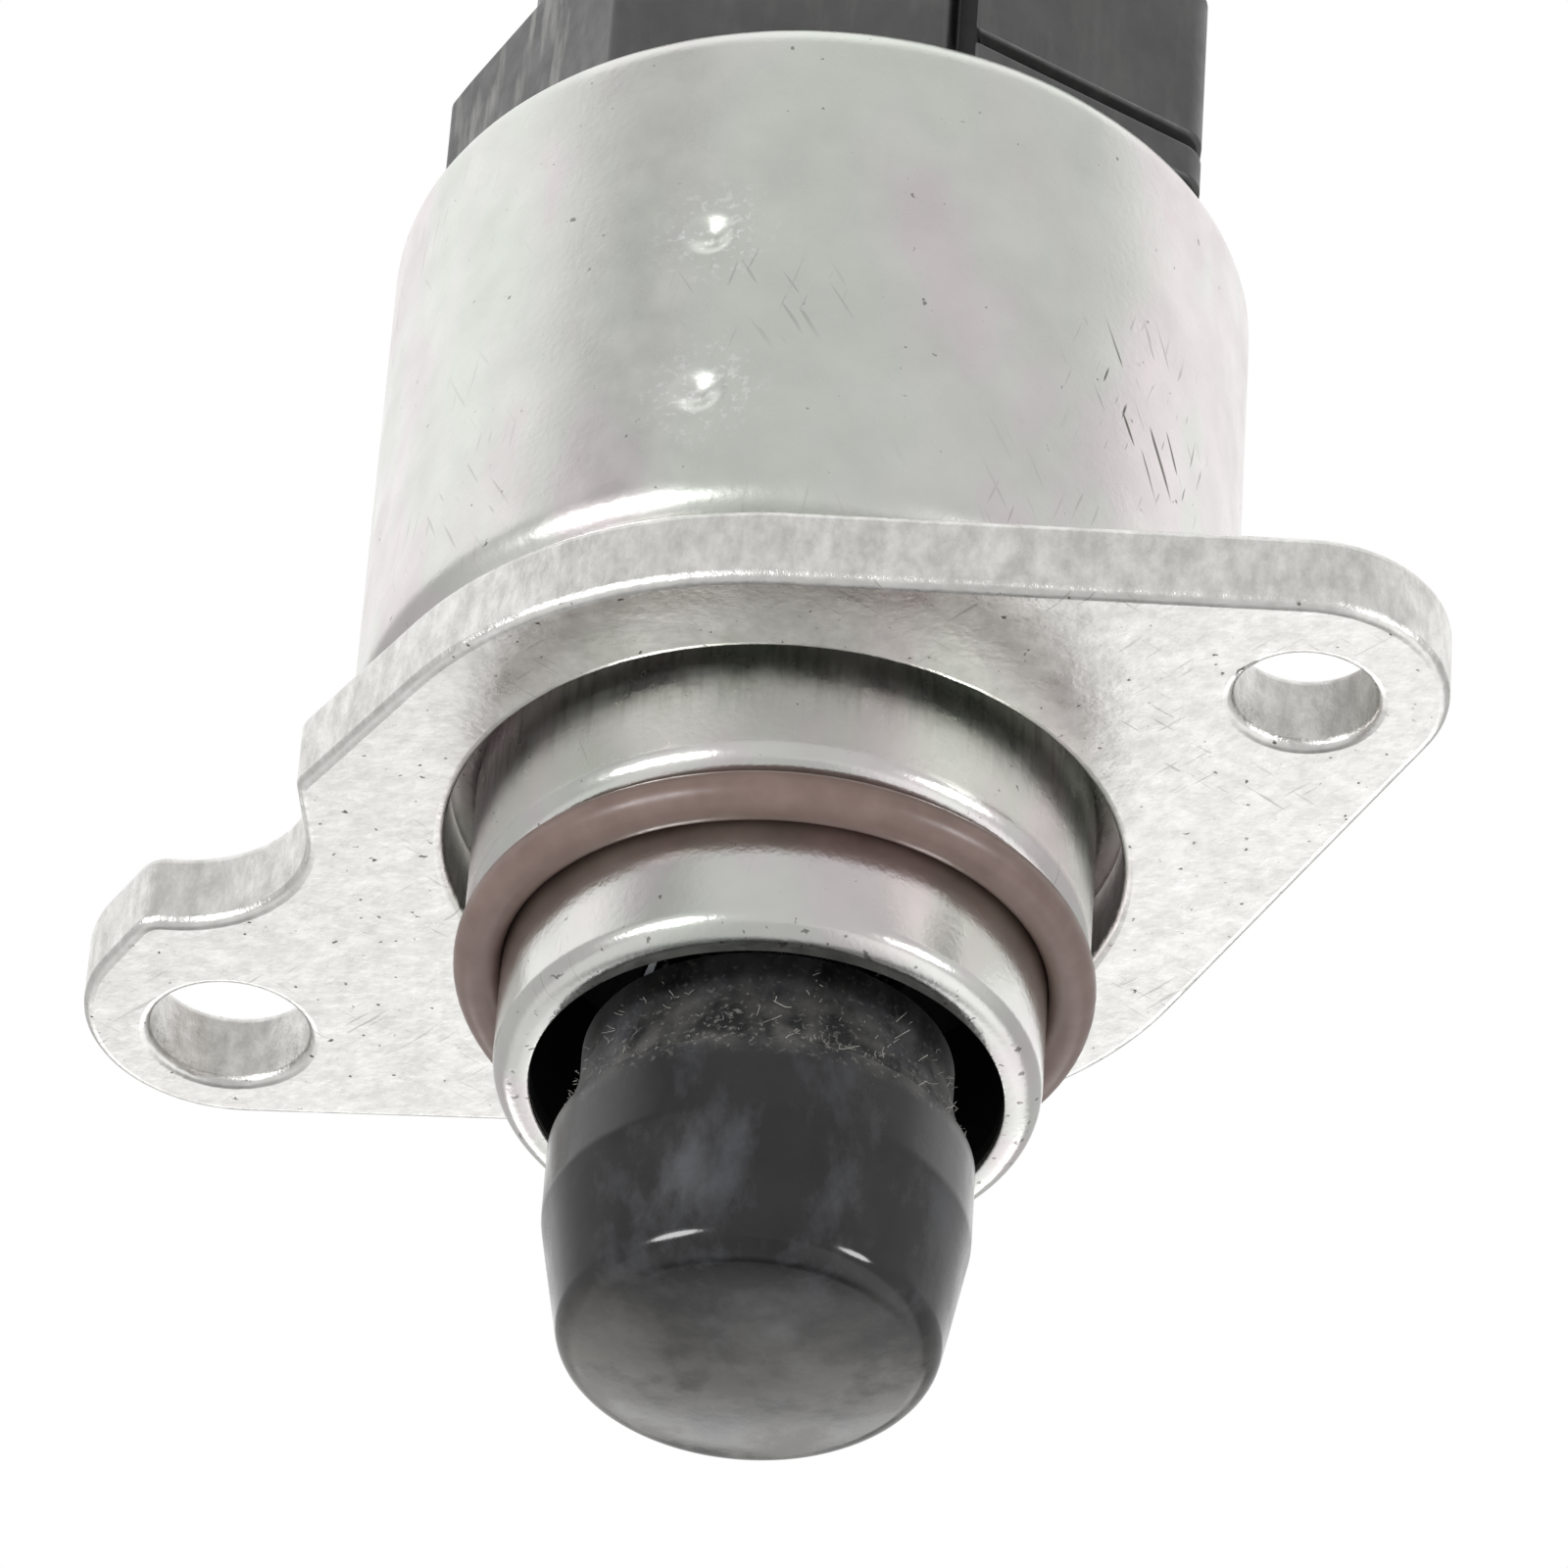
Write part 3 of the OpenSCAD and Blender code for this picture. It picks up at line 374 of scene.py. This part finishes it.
def cap_plastic():
    """Charcoal glass-filled nylon: satin from its mould, scuffed on its left corner."""
    material, tree, shader, where = new_finish("cap_plastic", IOR=1.5)
    place = add(tree, "SeparateXYZ", {"Vector": where}).outputs
    cloud = patches(tree, where, 2.5, 0.35, 0.7, detail=5)
    colour = laid_over(tree, paint("#3A3A3A"), "#444444", cloud)

    # Rubs, mostly at the front left corner below the socket
    slanted = add(tree, "Mapping", {
        "Vector": where, "Rotation": (0.0, SCUFF_SLANT, 0.0), "Scale": (1.0, 1.0, 0.2)})
    rubs = patches(tree, slanted, 0.9, 0.5, 0.66, most=0.55, detail=6)
    left = add(tree, "MapRange", {
        "Value": place["X"], "From Min": SCUFFED_BEYOND_MM * MM,
        "From Max": (SCUFFED_BEYOND_MM - 1.5) * MM, "To Min": 0.12})
    front = add(tree, "MapRange", {
        "Value": place["Y"], "From Min": 1.0 * MM, "From Max": -4.0 * MM, "To Min": 0.22})
    below = add(tree, "MapRange", {
        "Value": place["Z"], "From Min": (SOCKET_FOOT_MM + 0.1) * MM,
        "From Max": (SOCKET_FOOT_MM - 0.1) * MM, "To Min": 0.22})
    colour = laid_over(tree, colour, "#8F8E8B", rubs, left, front, below)

    # No light gets into the slot
    from_slot = add(tree, "Math", {0: place["X"], 1: SLOT_X_MM * MM}, operation="SUBTRACT")
    from_slot = add(tree, "Math", {0: from_slot}, operation="ABSOLUTE")
    across = add(tree, "MapRange", {
        "Value": from_slot, "From Min": 0.62 * MM, "From Max": 0.5 * MM})
    behind = add(tree, "MapRange", {
        "Value": place["Y"], "From Min": SLOT_FRONT_MM * MM,
        "From Max": (SLOT_FRONT_MM + 0.4) * MM})
    before = add(tree, "MapRange", {
        "Value": place["Y"], "From Min": SLOT_BACK_MM * MM,
        "From Max": (SLOT_BACK_MM - 0.2) * MM})
    colour = laid_over(tree, colour, "#0B0B0B", across, behind, before)
    rough = patches(tree, where, 1.2, 0.3, 0.7, 0.34, 0.48, detail=5)
    feed(tree, shader, {"Base Color": colour, "Roughness": rough})
    # Spark-eroded grain of about 0.1 mm, drawn coarser to show
    relief(tree, shader, (patches(tree, where, 0.28), 0.010))
    return material


def lint():
    """Pale textile dust."""
    material, tree, shader, where = new_finish("lint", Roughness=0.9)
    colour = laid_over(tree, paint("#7F7D79"), "#B5B3AE", patches(tree, where, 0.8, 0.35, 0.65))
    feed(tree, shader, {"Base Color": colour})
    return material


def inner_finish(name, first, second, roughness, grain_mm, depth_mm,
                 coarse, detail, **constants):
    """A piece inside the valve: two near colours in patches, and a fine grain."""
    material, tree, shader, where = new_finish(name, **constants)
    cloud = patches(tree, where, grain_mm * coarse, 0.35, 0.65, detail=4)
    colour = laid_over(tree, paint(first), second, cloud)
    rough = patches(tree, where, grain_mm * coarse / 2, 0.3, 0.7,
                    roughness - 0.05, roughness + 0.07, detail=4)
    feed(tree, shader, {"Base Color": colour, "Roughness": rough})
    relief(tree, shader, (patches(tree, where, grain_mm, detail=detail), depth_mm))
    return material


# Name, two colours, roughness, and grain and its depth in millimetres. The real grains are
# finer, and are drawn as coarse as they need to be to show in a close view
INNER_METALS = (
    # Rolled thread: bright and fine-grained
    ("screw_steel", "#A9ABB0", "#BEC0C4", 0.28, 0.2, 0.004),
    # Drawn wire: bright, a little darker
    ("spring_steel", "#9A9CA0", "#B4B6BA", 0.25, 0.15, 0.003),
    # Ground and polished: nearly a mirror
    ("bearing_steel", "#C2C4C8", "#D2D4D8", 0.14, 0.2, 0.001),
    # Sintered: dull and porous
    ("bronze", "#A98550", "#BC9760", 0.42, 0.12, 0.012),
    # Enamelled wire: warm and glossy
    ("copper_wire", "#B4622E", "#C87840", 0.24, 0.2, 0.003),
    # Stamped sheet with bright zinc: satin
    ("pole_steel", "#C6C7C4", "#D8D9D5", 0.34, 0.25, 0.006),
    # Tin plate: soft white
    ("tinned_brass", "#CFCDC6", "#DDDBD4", 0.30, 0.2, 0.004),
)
INNER_PLASTICS = (
    # Pressed ferrite: dark and grainy
    ("ferrite", "#38383B", "#48484C", 0.48, 0.12, 0.010),
    # Moulded acetal with graphite: dark satin
    ("guide_plastic", "#1C1C1D", "#262627", 0.5, 0.2, 0.006),
    # Uncoloured moulded nylon: cream satin
    ("natural_plastic", "#DCD3C0", "#E8E0D0", 0.45, 0.2, 0.006),
    # Moulded nitrile rubber: black satin
    ("seal_rubber", "#161616", "#222222", 0.5, 0.15, 0.006),
)


def make_finishes():
    """One material for each slot of the record."""
    finishes = {
        "drawn_zinc_steel": drawn_zinc_steel(),
        "flange_zinc_steel": flange_zinc_steel(),
        "o_ring_rubber": o_ring_rubber(),
        "pintle_plastic": pintle_plastic(),
        "cap_plastic": cap_plastic(),
    }
    for row in INNER_METALS:
        finishes[row[0]] = inner_finish(*row, coarse=6, detail=4, Metallic=1.0)
    for row in INNER_PLASTICS:
        finishes[row[0]] = inner_finish(*row, coarse=8, detail=3, IOR=1.5)
    return finishes


def dress_nodes(frame, finishes, slots):
    """Gives every CAD node the finish of its slot in the record."""
    for name, node in frame["nodes"].items():
        node.data.materials.clear()
        node.data.materials.append(finishes[slots[name]])


VIEW_TURN = math.radians(12.4)
CAMERA_AT = Vector((0.0, -0.33799, -0.26374))
CAMERA_AIM = Vector((-0.00018, -0.00080, 0.00326))
CAMERA_ROLL = math.radians(4.17)
PHOTO_SIDE = 1600
FOCAL_PIXELS = 11420.0
SENSOR_MM = 36.0


def aimed(at, aim):
    """A turn that looks from one point to another."""
    return (Vector(aim) - Vector(at)).to_track_quat("-Z", "Y")


def turned_to_view(point):
    """A place given as seen from the photograph's side, in the object's frame."""
    return Matrix.Rotation(VIEW_TURN, 3, "Z") @ Vector(point)


def set_camera():
    """The photograph's view: from in front and well below, close, with a long lens."""
    data = bpy.data.cameras.new("camera")
    data.sensor_width = SENSOR_MM
    data.lens = FOCAL_PIXELS / PHOTO_SIDE * SENSOR_MM
    data.clip_start = 0.01
    camera = bpy.data.objects.new("camera", data)
    bpy.context.collection.objects.link(camera)
    at = turned_to_view(CAMERA_AT)
    turn = aimed(at, turned_to_view(CAMERA_AIM)) @ Quaternion((0, 0, 1), CAMERA_ROLL)
    camera.matrix_world = Matrix.Translation(at) @ turn.to_matrix().to_4x4()
    bpy.context.scene.camera = camera


FLOOR_Z = -0.47
FLOOR_SIDE = 6.0


def set_floor():
    """A plain pale floor below the camera. Its reflection is the studio's, which is softer."""
    mesh = bpy.data.meshes.new("floor")
    shape = bmesh.new()
    bmesh.ops.create_grid(shape, x_segments=1, y_segments=1, size=FLOOR_SIDE / 2)
    bmesh.ops.translate(shape, verts=shape.verts, vec=(0, 0, FLOOR_Z))
    shape.to_mesh(mesh)
    shape.free()
    floor = bpy.data.objects.new("floor", mesh)
    bpy.context.collection.objects.link(floor)
    material = new_finish("floor", Base_Color=paint("#F4F4F2"), Roughness=0.8)[0]
    mesh.materials.append(material)
    floor.visible_glossy = False


WHITE = (1.0, 1.0, 1.0, 1.0)
SIDE_GLOW = 1.15
LOW_SIDE_SHARE = 0.5
FRONT_GLOW = 0.70
BELOW_GLOW = 1.06
LEFT_SHARE = 0.76
RIGHT_SHARE = 1.16
LOW_GLOW = 0.6
LOW_BACK_SHARE = 0.25
BACK_GLOW = 2.4
HORIZON = 0.89
FRONT_WAY = (0.22, -0.975, 0.0)
DARK_WAY = (-0.668, -0.418, 0.616)
DARK_SHARE = 0.28


def set_world():
    """A white light tent: grey in front, dark where the camera stands, brightest low behind."""
    world = bpy.data.worlds.new("studio")
    bpy.context.scene.world = world
    world.use_nodes = True
    tree = world.node_tree
    tree.nodes.clear()
    way = add(tree, "TexCoord").outputs["Generated"]
    way = add(tree, "VectorRotate", {"Vector": way, "Angle": -VIEW_TURN},
              rotation_type="Z_AXIS")
    x, y, z = add(tree, "SeparateXYZ", {"Vector": way}).outputs

    # Bright sides, dimmer near the ground, and a grey front
    side = add(tree, "MapRange", {
        "Value": z, "From Min": 0.53, "From Max": 0.44,
        "To Min": SIDE_GLOW, "To Max": SIDE_GLOW * LOW_SIDE_SHARE})
    ahead = add(tree, "VectorMath", {0: way, 1: FRONT_WAY}, operation="DOT_PRODUCT")
    ahead = add(tree, "MapRange", {"Value": ahead, "From Min": 0.06, "From Max": 0.26})
    under_top = add(tree, "MapRange", {"Value": z, "From Min": 0.92, "From Max": 0.8})
    front = add(tree, "Math", {0: ahead, 1: under_top}, operation="MULTIPLY")
    glow = add(tree, "Mix", {0: front, 2: side, 3: FRONT_GLOW})

    # Below, lighter to the right, and darker round the camera
    below = add(tree, "MapRange", {"Value": z, "From Min": -0.38, "From Max": -0.52})
    ground = add(tree, "MapRange", {
        "Value": x, "From Min": -0.12, "From Max": 0.1,
        "To Min": LEFT_SHARE * BELOW_GLOW, "To Max": RIGHT_SHARE * BELOW_GLOW})
    glow = add(tree, "Mix", {0: below, 2: glow, 3: ground})
    aside = add(tree, "Math", {0: x, 1: -0.02}, operation="ADD")
    aside = add(tree, "Math", {0: aside}, operation="ABSOLUTE")
    aside = add(tree, "MapRange", {"Value": aside, "From Min": 0.62, "From Max": 0.22})
    near_camera = add(tree, "MapRange", {"Value": y, "From Min": 0.62, "From Max": 0.40})
    near_camera = add(tree, "Math", {0: near_camera, 1: aside}, operation="MULTIPLY")
    near_camera = add(tree, "Math", {0: below, 1: near_camera}, operation="MULTIPLY")
    low = add(tree, "MapRange", {
        "Value": y, "From Min": 0.05, "From Max": 0.3,
        "To Min": LOW_GLOW, "To Max": LOW_GLOW * LOW_BACK_SHARE})
    glow = add(tree, "Mix", {0: near_camera, 2: glow, 3: low})

    # A darker place high on the left, and a bright strip low behind
    dark = add(tree, "VectorMath", {0: way, 1: DARK_WAY}, operation="DOT_PRODUCT")
    dark = add(tree, "MapRange", {
        "Value": dark, "From Min": 0.93, "From Max": 0.985,
        "To Min": 1.0, "To Max": 1.0 - DARK_SHARE})
    glow = add(tree, "Math", {0: glow, 1: dark}, operation="MULTIPLY")
    back = add(tree, "MapRange", {"Value": y, "From Min": 0.80, "From Max": 0.90})
    over = add(tree, "MapRange", {"Value": z, "From Min": -0.5, "From Max": -0.36})
    under = add(tree, "MapRange", {
        "Value": z, "From Min": -0.17, "From Max": -0.27, "To Max": BACK_GLOW})
    strip = add(tree, "Math", {0: back, 1: over}, operation="MULTIPLY")
    strip = add(tree, "Math", {0: strip, 1: under}, operation="MULTIPLY")
    glow = add(tree, "Math", {0: glow, 1: strip}, operation="ADD")

    # The camera itself sees plain white, which meets the floor's tone at the horizon
    tent = add(tree, "Background", {"Color": WHITE, "Strength": glow})
    plain = add(tree, "MapRange", {
        "Value": z, "From Min": 0.0, "From Max": 0.35, "To Min": HORIZON, "To Max": 1.0})
    plain = add(tree, "Background", {"Color": WHITE, "Strength": plain})
    seen = add(tree, "LightPath").outputs["Is Camera Ray"]
    mixed = add(tree, "MixShader", {0: seen, 1: tent, 2: plain})
    add(tree, "OutputWorld", {"Surface": mixed})


LAMP_AWAY = 0.6


def add_softbox(name, azimuth, elevation, width, height, watts):
    """A flat oval light that faces the valve, placed as seen from the photograph's side."""
    data = bpy.data.lights.new(name, "AREA")
    data.shape = "ELLIPSE"
    data.size = width
    data.size_y = height
    data.energy = watts
    lamp = bpy.data.objects.new(name, data)
    bpy.context.collection.objects.link(lamp)
    side, rise = math.radians(azimuth), math.radians(elevation)
    at = turned_to_view((LAMP_AWAY * math.sin(side) * math.cos(rise),
                         -LAMP_AWAY * math.cos(side) * math.cos(rise),
                         LAMP_AWAY * math.sin(rise)))
    lamp.matrix_world = Matrix.Translation(at) @ aimed(at, (0, 0, 0)).to_matrix().to_4x4()
    lamp.visible_camera = False


def set_lights():
    """Two softboxes on both sides of the camera, low enough to light the bends."""
    add_softbox("left", -44, -7, 0.30, 0.16, 1.7)
    add_softbox("right", 56, -7, 0.20, 0.14, 0.9)


SHARP = math.radians(32)


def new_piece(name, shape, finish, replaces, bevel_mm=0.0):
    """A finished piece from a bmesh: smooth faces, crisp edges, and its CAD node hidden."""
    for face in shape.faces:
        face.smooth = True
        face.material_index = 0
    for edge in shape.edges:
        edge.smooth = edge.is_manifold and edge.calc_face_angle(0.0) < SHARP
    mesh = bpy.data.meshes.new(name)
    shape.to_mesh(mesh)
    shape.free()
    mesh.materials.append(finish)
    piece = bpy.data.objects.new(name, mesh)
    bpy.context.collection.objects.link(piece)
    if bevel_mm:
        bevel = piece.modifiers.new("bevel", "BEVEL")
        bevel.width = bevel_mm * MM
        bevel.segments = 4
        bevel.limit_method = "ANGLE"
        bevel.angle_limit = SHARP
        bevel.use_clamp_overlap = False
    weighted = piece.modifiers.new("normals", "WEIGHTED_NORMAL")
    weighted.keep_sharp = True
    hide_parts(replaces)
    return piece


def finer(node, finish, bevel_mm=0.0):
    """A welded copy of a CAD node, its flat faces made whole and its sharp edges broken."""
    shape = bmesh.new()
    shape.from_mesh(node.data)
    bmesh.ops.remove_doubles(shape, verts=shape.verts, dist=0.002 * MM)
    bmesh.ops.dissolve_degenerate(shape, edges=shape.edges, dist=0.001 * MM)
    if bevel_mm:
        bmesh.ops.dissolve_limit(shape, angle_limit=math.radians(0.5),
                                 verts=shape.verts, edges=shape.edges)
    return new_piece(node.name + "_finer", shape, finish, node.name, bevel_mm)


ARC_STEP = math.radians(12)


def rounded(profile):
    """An outline in millimetres, (radius, height, rounding), with its corners as arcs."""
    outline = []
    for i, (across, up, rounding) in enumerate(profile):
        here = Vector((across, up))
        if not rounding:
            outline.append(here)
            continue
        back = (Vector(profile[i - 1][:2]) - here).normalized()
        on = (Vector(profile[(i + 1) % len(profile)][:2]) - here).normalized()
        half = back.angle(on) / 2
        centre = here + (back + on).normalized() * rounding / math.sin(half)
        start = here + back * rounding / math.tan(half) - centre
        sweep = math.pi - 2 * half
        if back.cross(on) > 0:
            sweep = -sweep
        steps = max(2, math.ceil(abs(sweep) / ARC_STEP))
        for k in range(steps + 1):
            outline.append(centre + Matrix.Rotation(sweep * k / steps, 2) @ start)
    return outline


def spun(outline, steps):
    """A closed solid of revolution from an outline in millimetres."""
    shape = bmesh.new()
    verts = [shape.verts.new((p.x * MM, 0.0, p.y * MM)) for p in outline]
    edges = [shape.edges.new((a, b)) for a, b in zip(verts, verts[1:] + verts[:1])]
    bmesh.ops.spin(shape, geom=verts + edges, axis=(0, 0, 1), cent=(0, 0, 0),
                   angle=math.tau, steps=steps, use_merge=True)
    bmesh.ops.remove_doubles(shape, verts=shape.verts, dist=0.001 * MM)
    bmesh.ops.recalc_face_normals(shape, faces=shape.faces)
    return shape


CAN_PROFILE_MM = (
    (15.5, 28.4, 0.15), (CAN_R_MM, 28.4, 1.4), (CAN_R_MM, 3.4, 1.8), (11.95, 3.4, 1.0),
    (11.95, -4.7, 1.2), (10.4, -4.7, 0.0), (10.4, -11.2, 1.0), (8.965, -11.2, 0.12),
    (8.965, -10.2, 0.0), (9.4, -10.2, 0.0), (9.4, -3.7, 0.0), (10.95, -3.7, 0.0),
    (10.95, 4.4, 2.0), (16.0, 4.4, 0.8), (16.0, 27.4, 0.4), (15.5, 27.4, 0.0))
CAN_STEPS = 240
WALL_ROW_MM = 0.45
WALL_LEAST_MM = 5.0
DIMPLE_REACH_MM = 1.2
DIMPLE_DEPTH_MM = 0.34


def can_outline():
    """The can's outline, its outer wall cut into rows for the punched dimples."""
    outline = rounded(CAN_PROFILE_MM)
    rows = []
    for start, end in zip(outline, outline[1:] + outline[:1]):
        rows.append(start)
        length = (start - end).length
        if min(start.x, end.x) > CAN_R_MM - 0.001 and length > WALL_LEAST_MM:
            count = round(length / WALL_ROW_MM)
            rows += [start.lerp(end, k / count) for k in range(1, count)]
    return rows


def from_dimple(place, height):
    """Distance over the can's wall, in millimetres, from the middle of a dimple."""
    turn = math.remainder(math.atan2(place.y, place.x) - DIMPLE_ANGLE, math.tau)
    return math.hypot(turn * CAN_R_MM, place.z / MM - height)


def can_shape():
    """The drawn can in one piece, with its soft-edged dimples pressed in."""
    shape = spun(can_outline(), CAN_STEPS)
    for height in DIMPLE_HEIGHTS_MM:
        close = [edge for edge in shape.edges
                 if all(v.co.to_2d().length > (CAN_R_MM - 0.01) * MM
                        and from_dimple(v.co, height) < DIMPLE_REACH_MM + 0.5 for v in edge.verts)]
        bmesh.ops.subdivide_edges(shape, edges=close, cuts=3, use_grid_fill=True)
    for vert in shape.verts:
        if vert.co.to_2d().length < (CAN_R_MM - 0.01) * MM:
            continue
        away = min(from_dimple(vert.co, height) for height in DIMPLE_HEIGHTS_MM)
        if away < DIMPLE_REACH_MM:
            depth = DIMPLE_DEPTH_MM / 2 * (1 + math.cos(math.pi * away / DIMPLE_REACH_MM))
            flat = vert.co.to_2d().normalized() * (CAN_R_MM - depth) * MM
            vert.co = (flat.x, flat.y, vert.co.z)
    return shape


PINTLE_STEPS = 160
TIP_DOME_R_MM = 33.0
TIP_Z_MM = -24.0
SCREW_HOLE_END_MM = -21.92
SPRING_SEAT_MM = -19.9
PINTLE_PROFILE_MM = (
    (7.07, TIP_Z_MM + 0.76, 1.3), (8.05, -17.6, 2.0), (8.05, -14.4, 0.12), (7.6, -14.25, 0.1),
    (7.05, -11.5, 1.0), (7.05, -9.7, 0.1), (5.75, -9.7, 0.1), (5.75, SPRING_SEAT_MM, 0.0),
    (3.8, SPRING_SEAT_MM, 0.0), (3.8, -16.5, 0.0), (2.52, -16.5, 0.0),
    (2.52, SCREW_HOLE_END_MM, 0.0), (0.0, SCREW_HOLE_END_MM, 0.0))


def pintle_shape():
    """The valve head: domed tip, taper, band, the cone behind it, and the spring's cup."""
    dome = [(x, TIP_Z_MM + TIP_DOME_R_MM - math.sqrt(TIP_DOME_R_MM**2 - x * x), 0.0)
            for x in (0.0, 1.0, 2.0, 3.0, 4.0, 5.0)]
    return spun(rounded(dome + list(PINTLE_PROFILE_MM)), PINTLE_STEPS)


BROKEN_EDGES_MM = (("mounting_flange", 0.4), ("nose_o_ring", 0.0), ("connector_housing", 0.2))


def add_finer_pieces(frame, finishes, slots):
    """The outer pieces and the spring, as smooth meshes in place of the CAD's."""
    nodes = frame["nodes"]
    can = new_piece("can_shell", can_shape(), finishes["drawn_zinc_steel"], "motor_can")
    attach(can, "housing")
    for name, bevel_mm in BROKEN_EDGES_MM:
        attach(finer(nodes[name], finishes[slots[name]], bevel_mm), "housing")
    head = new_piece("valve_head", pintle_shape(), finishes["pintle_plastic"], "pintle_head")
    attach(head, "pintle")
    spring = finer(nodes["pintle_spring"], finishes["spring_steel"])
    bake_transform(spring)


FIBRES = 220
FIBRE_R = 0.014 * MM
FIBRE_LIFT = 0.3 * MM
FIBRE_POINTS = 5
CONE_R = 7.62 * MM
CONE_LOW_Z = -14.2 * MM
CONE_HIGH_Z = -10.6 * MM
CONE_LEAN = 0.18


def add_fibres(finish):
    """Short curled fibres that cling to the pintle behind its band."""
    rng = random.Random(7)
    data = bpy.data.curves.new("pintle_lint", "CURVE")
    data.dimensions = "3D"
    data.bevel_depth = FIBRE_R
    data.bevel_resolution = 0
    data.use_fill_caps = True
    data.materials.append(finish)
    for _ in range(FIBRES):
        angle = rng.uniform(0, math.tau)
        z = CONE_LOW_Z + (CONE_HIGH_Z - CONE_LOW_Z) * rng.random() ** 1.6
        radius = CONE_R - (z - CONE_LOW_Z) * CONE_LEAN + FIBRE_R
        turn, climb = rng.uniform(-1.2, 1.2), rng.uniform(-0.9, 0.9)
        length = (0.12 + 0.8 * rng.random() ** 3) * MM
        spline = data.splines.new("POLY")
        spline.points.add(FIBRE_POINTS - 1)
        for step, point in enumerate(spline.points):
            share = step / (FIBRE_POINTS - 1)
            out = radius + FIBRE_LIFT * rng.uniform(0.2, 1.0) * share * share
            a = angle + turn * share * length / radius
            point.co = (out * math.cos(a), out * math.sin(a), z + climb * share * length, 1.0)
    piece = bpy.data.objects.new("pintle_lint", data)
    bpy.context.collection.objects.link(piece)
    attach(piece, "pintle")


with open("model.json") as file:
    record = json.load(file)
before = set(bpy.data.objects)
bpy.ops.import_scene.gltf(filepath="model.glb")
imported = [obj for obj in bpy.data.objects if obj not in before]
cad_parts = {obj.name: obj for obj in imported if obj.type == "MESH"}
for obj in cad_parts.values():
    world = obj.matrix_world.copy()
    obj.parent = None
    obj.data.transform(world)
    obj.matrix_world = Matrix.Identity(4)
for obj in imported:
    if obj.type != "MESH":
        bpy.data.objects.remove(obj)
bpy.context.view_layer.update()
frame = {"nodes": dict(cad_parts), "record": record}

set_camera()
set_floor()
set_world()
set_lights()
bpy.context.scene.view_settings.view_transform = "Standard"

slots = {part["node"]: part["material_slot"] for part in frame["record"]["subparts"]}
finishes = make_finishes()
dress_nodes(frame, finishes, slots)
add_finer_pieces(frame, finishes, slots)
add_fibres(lint())
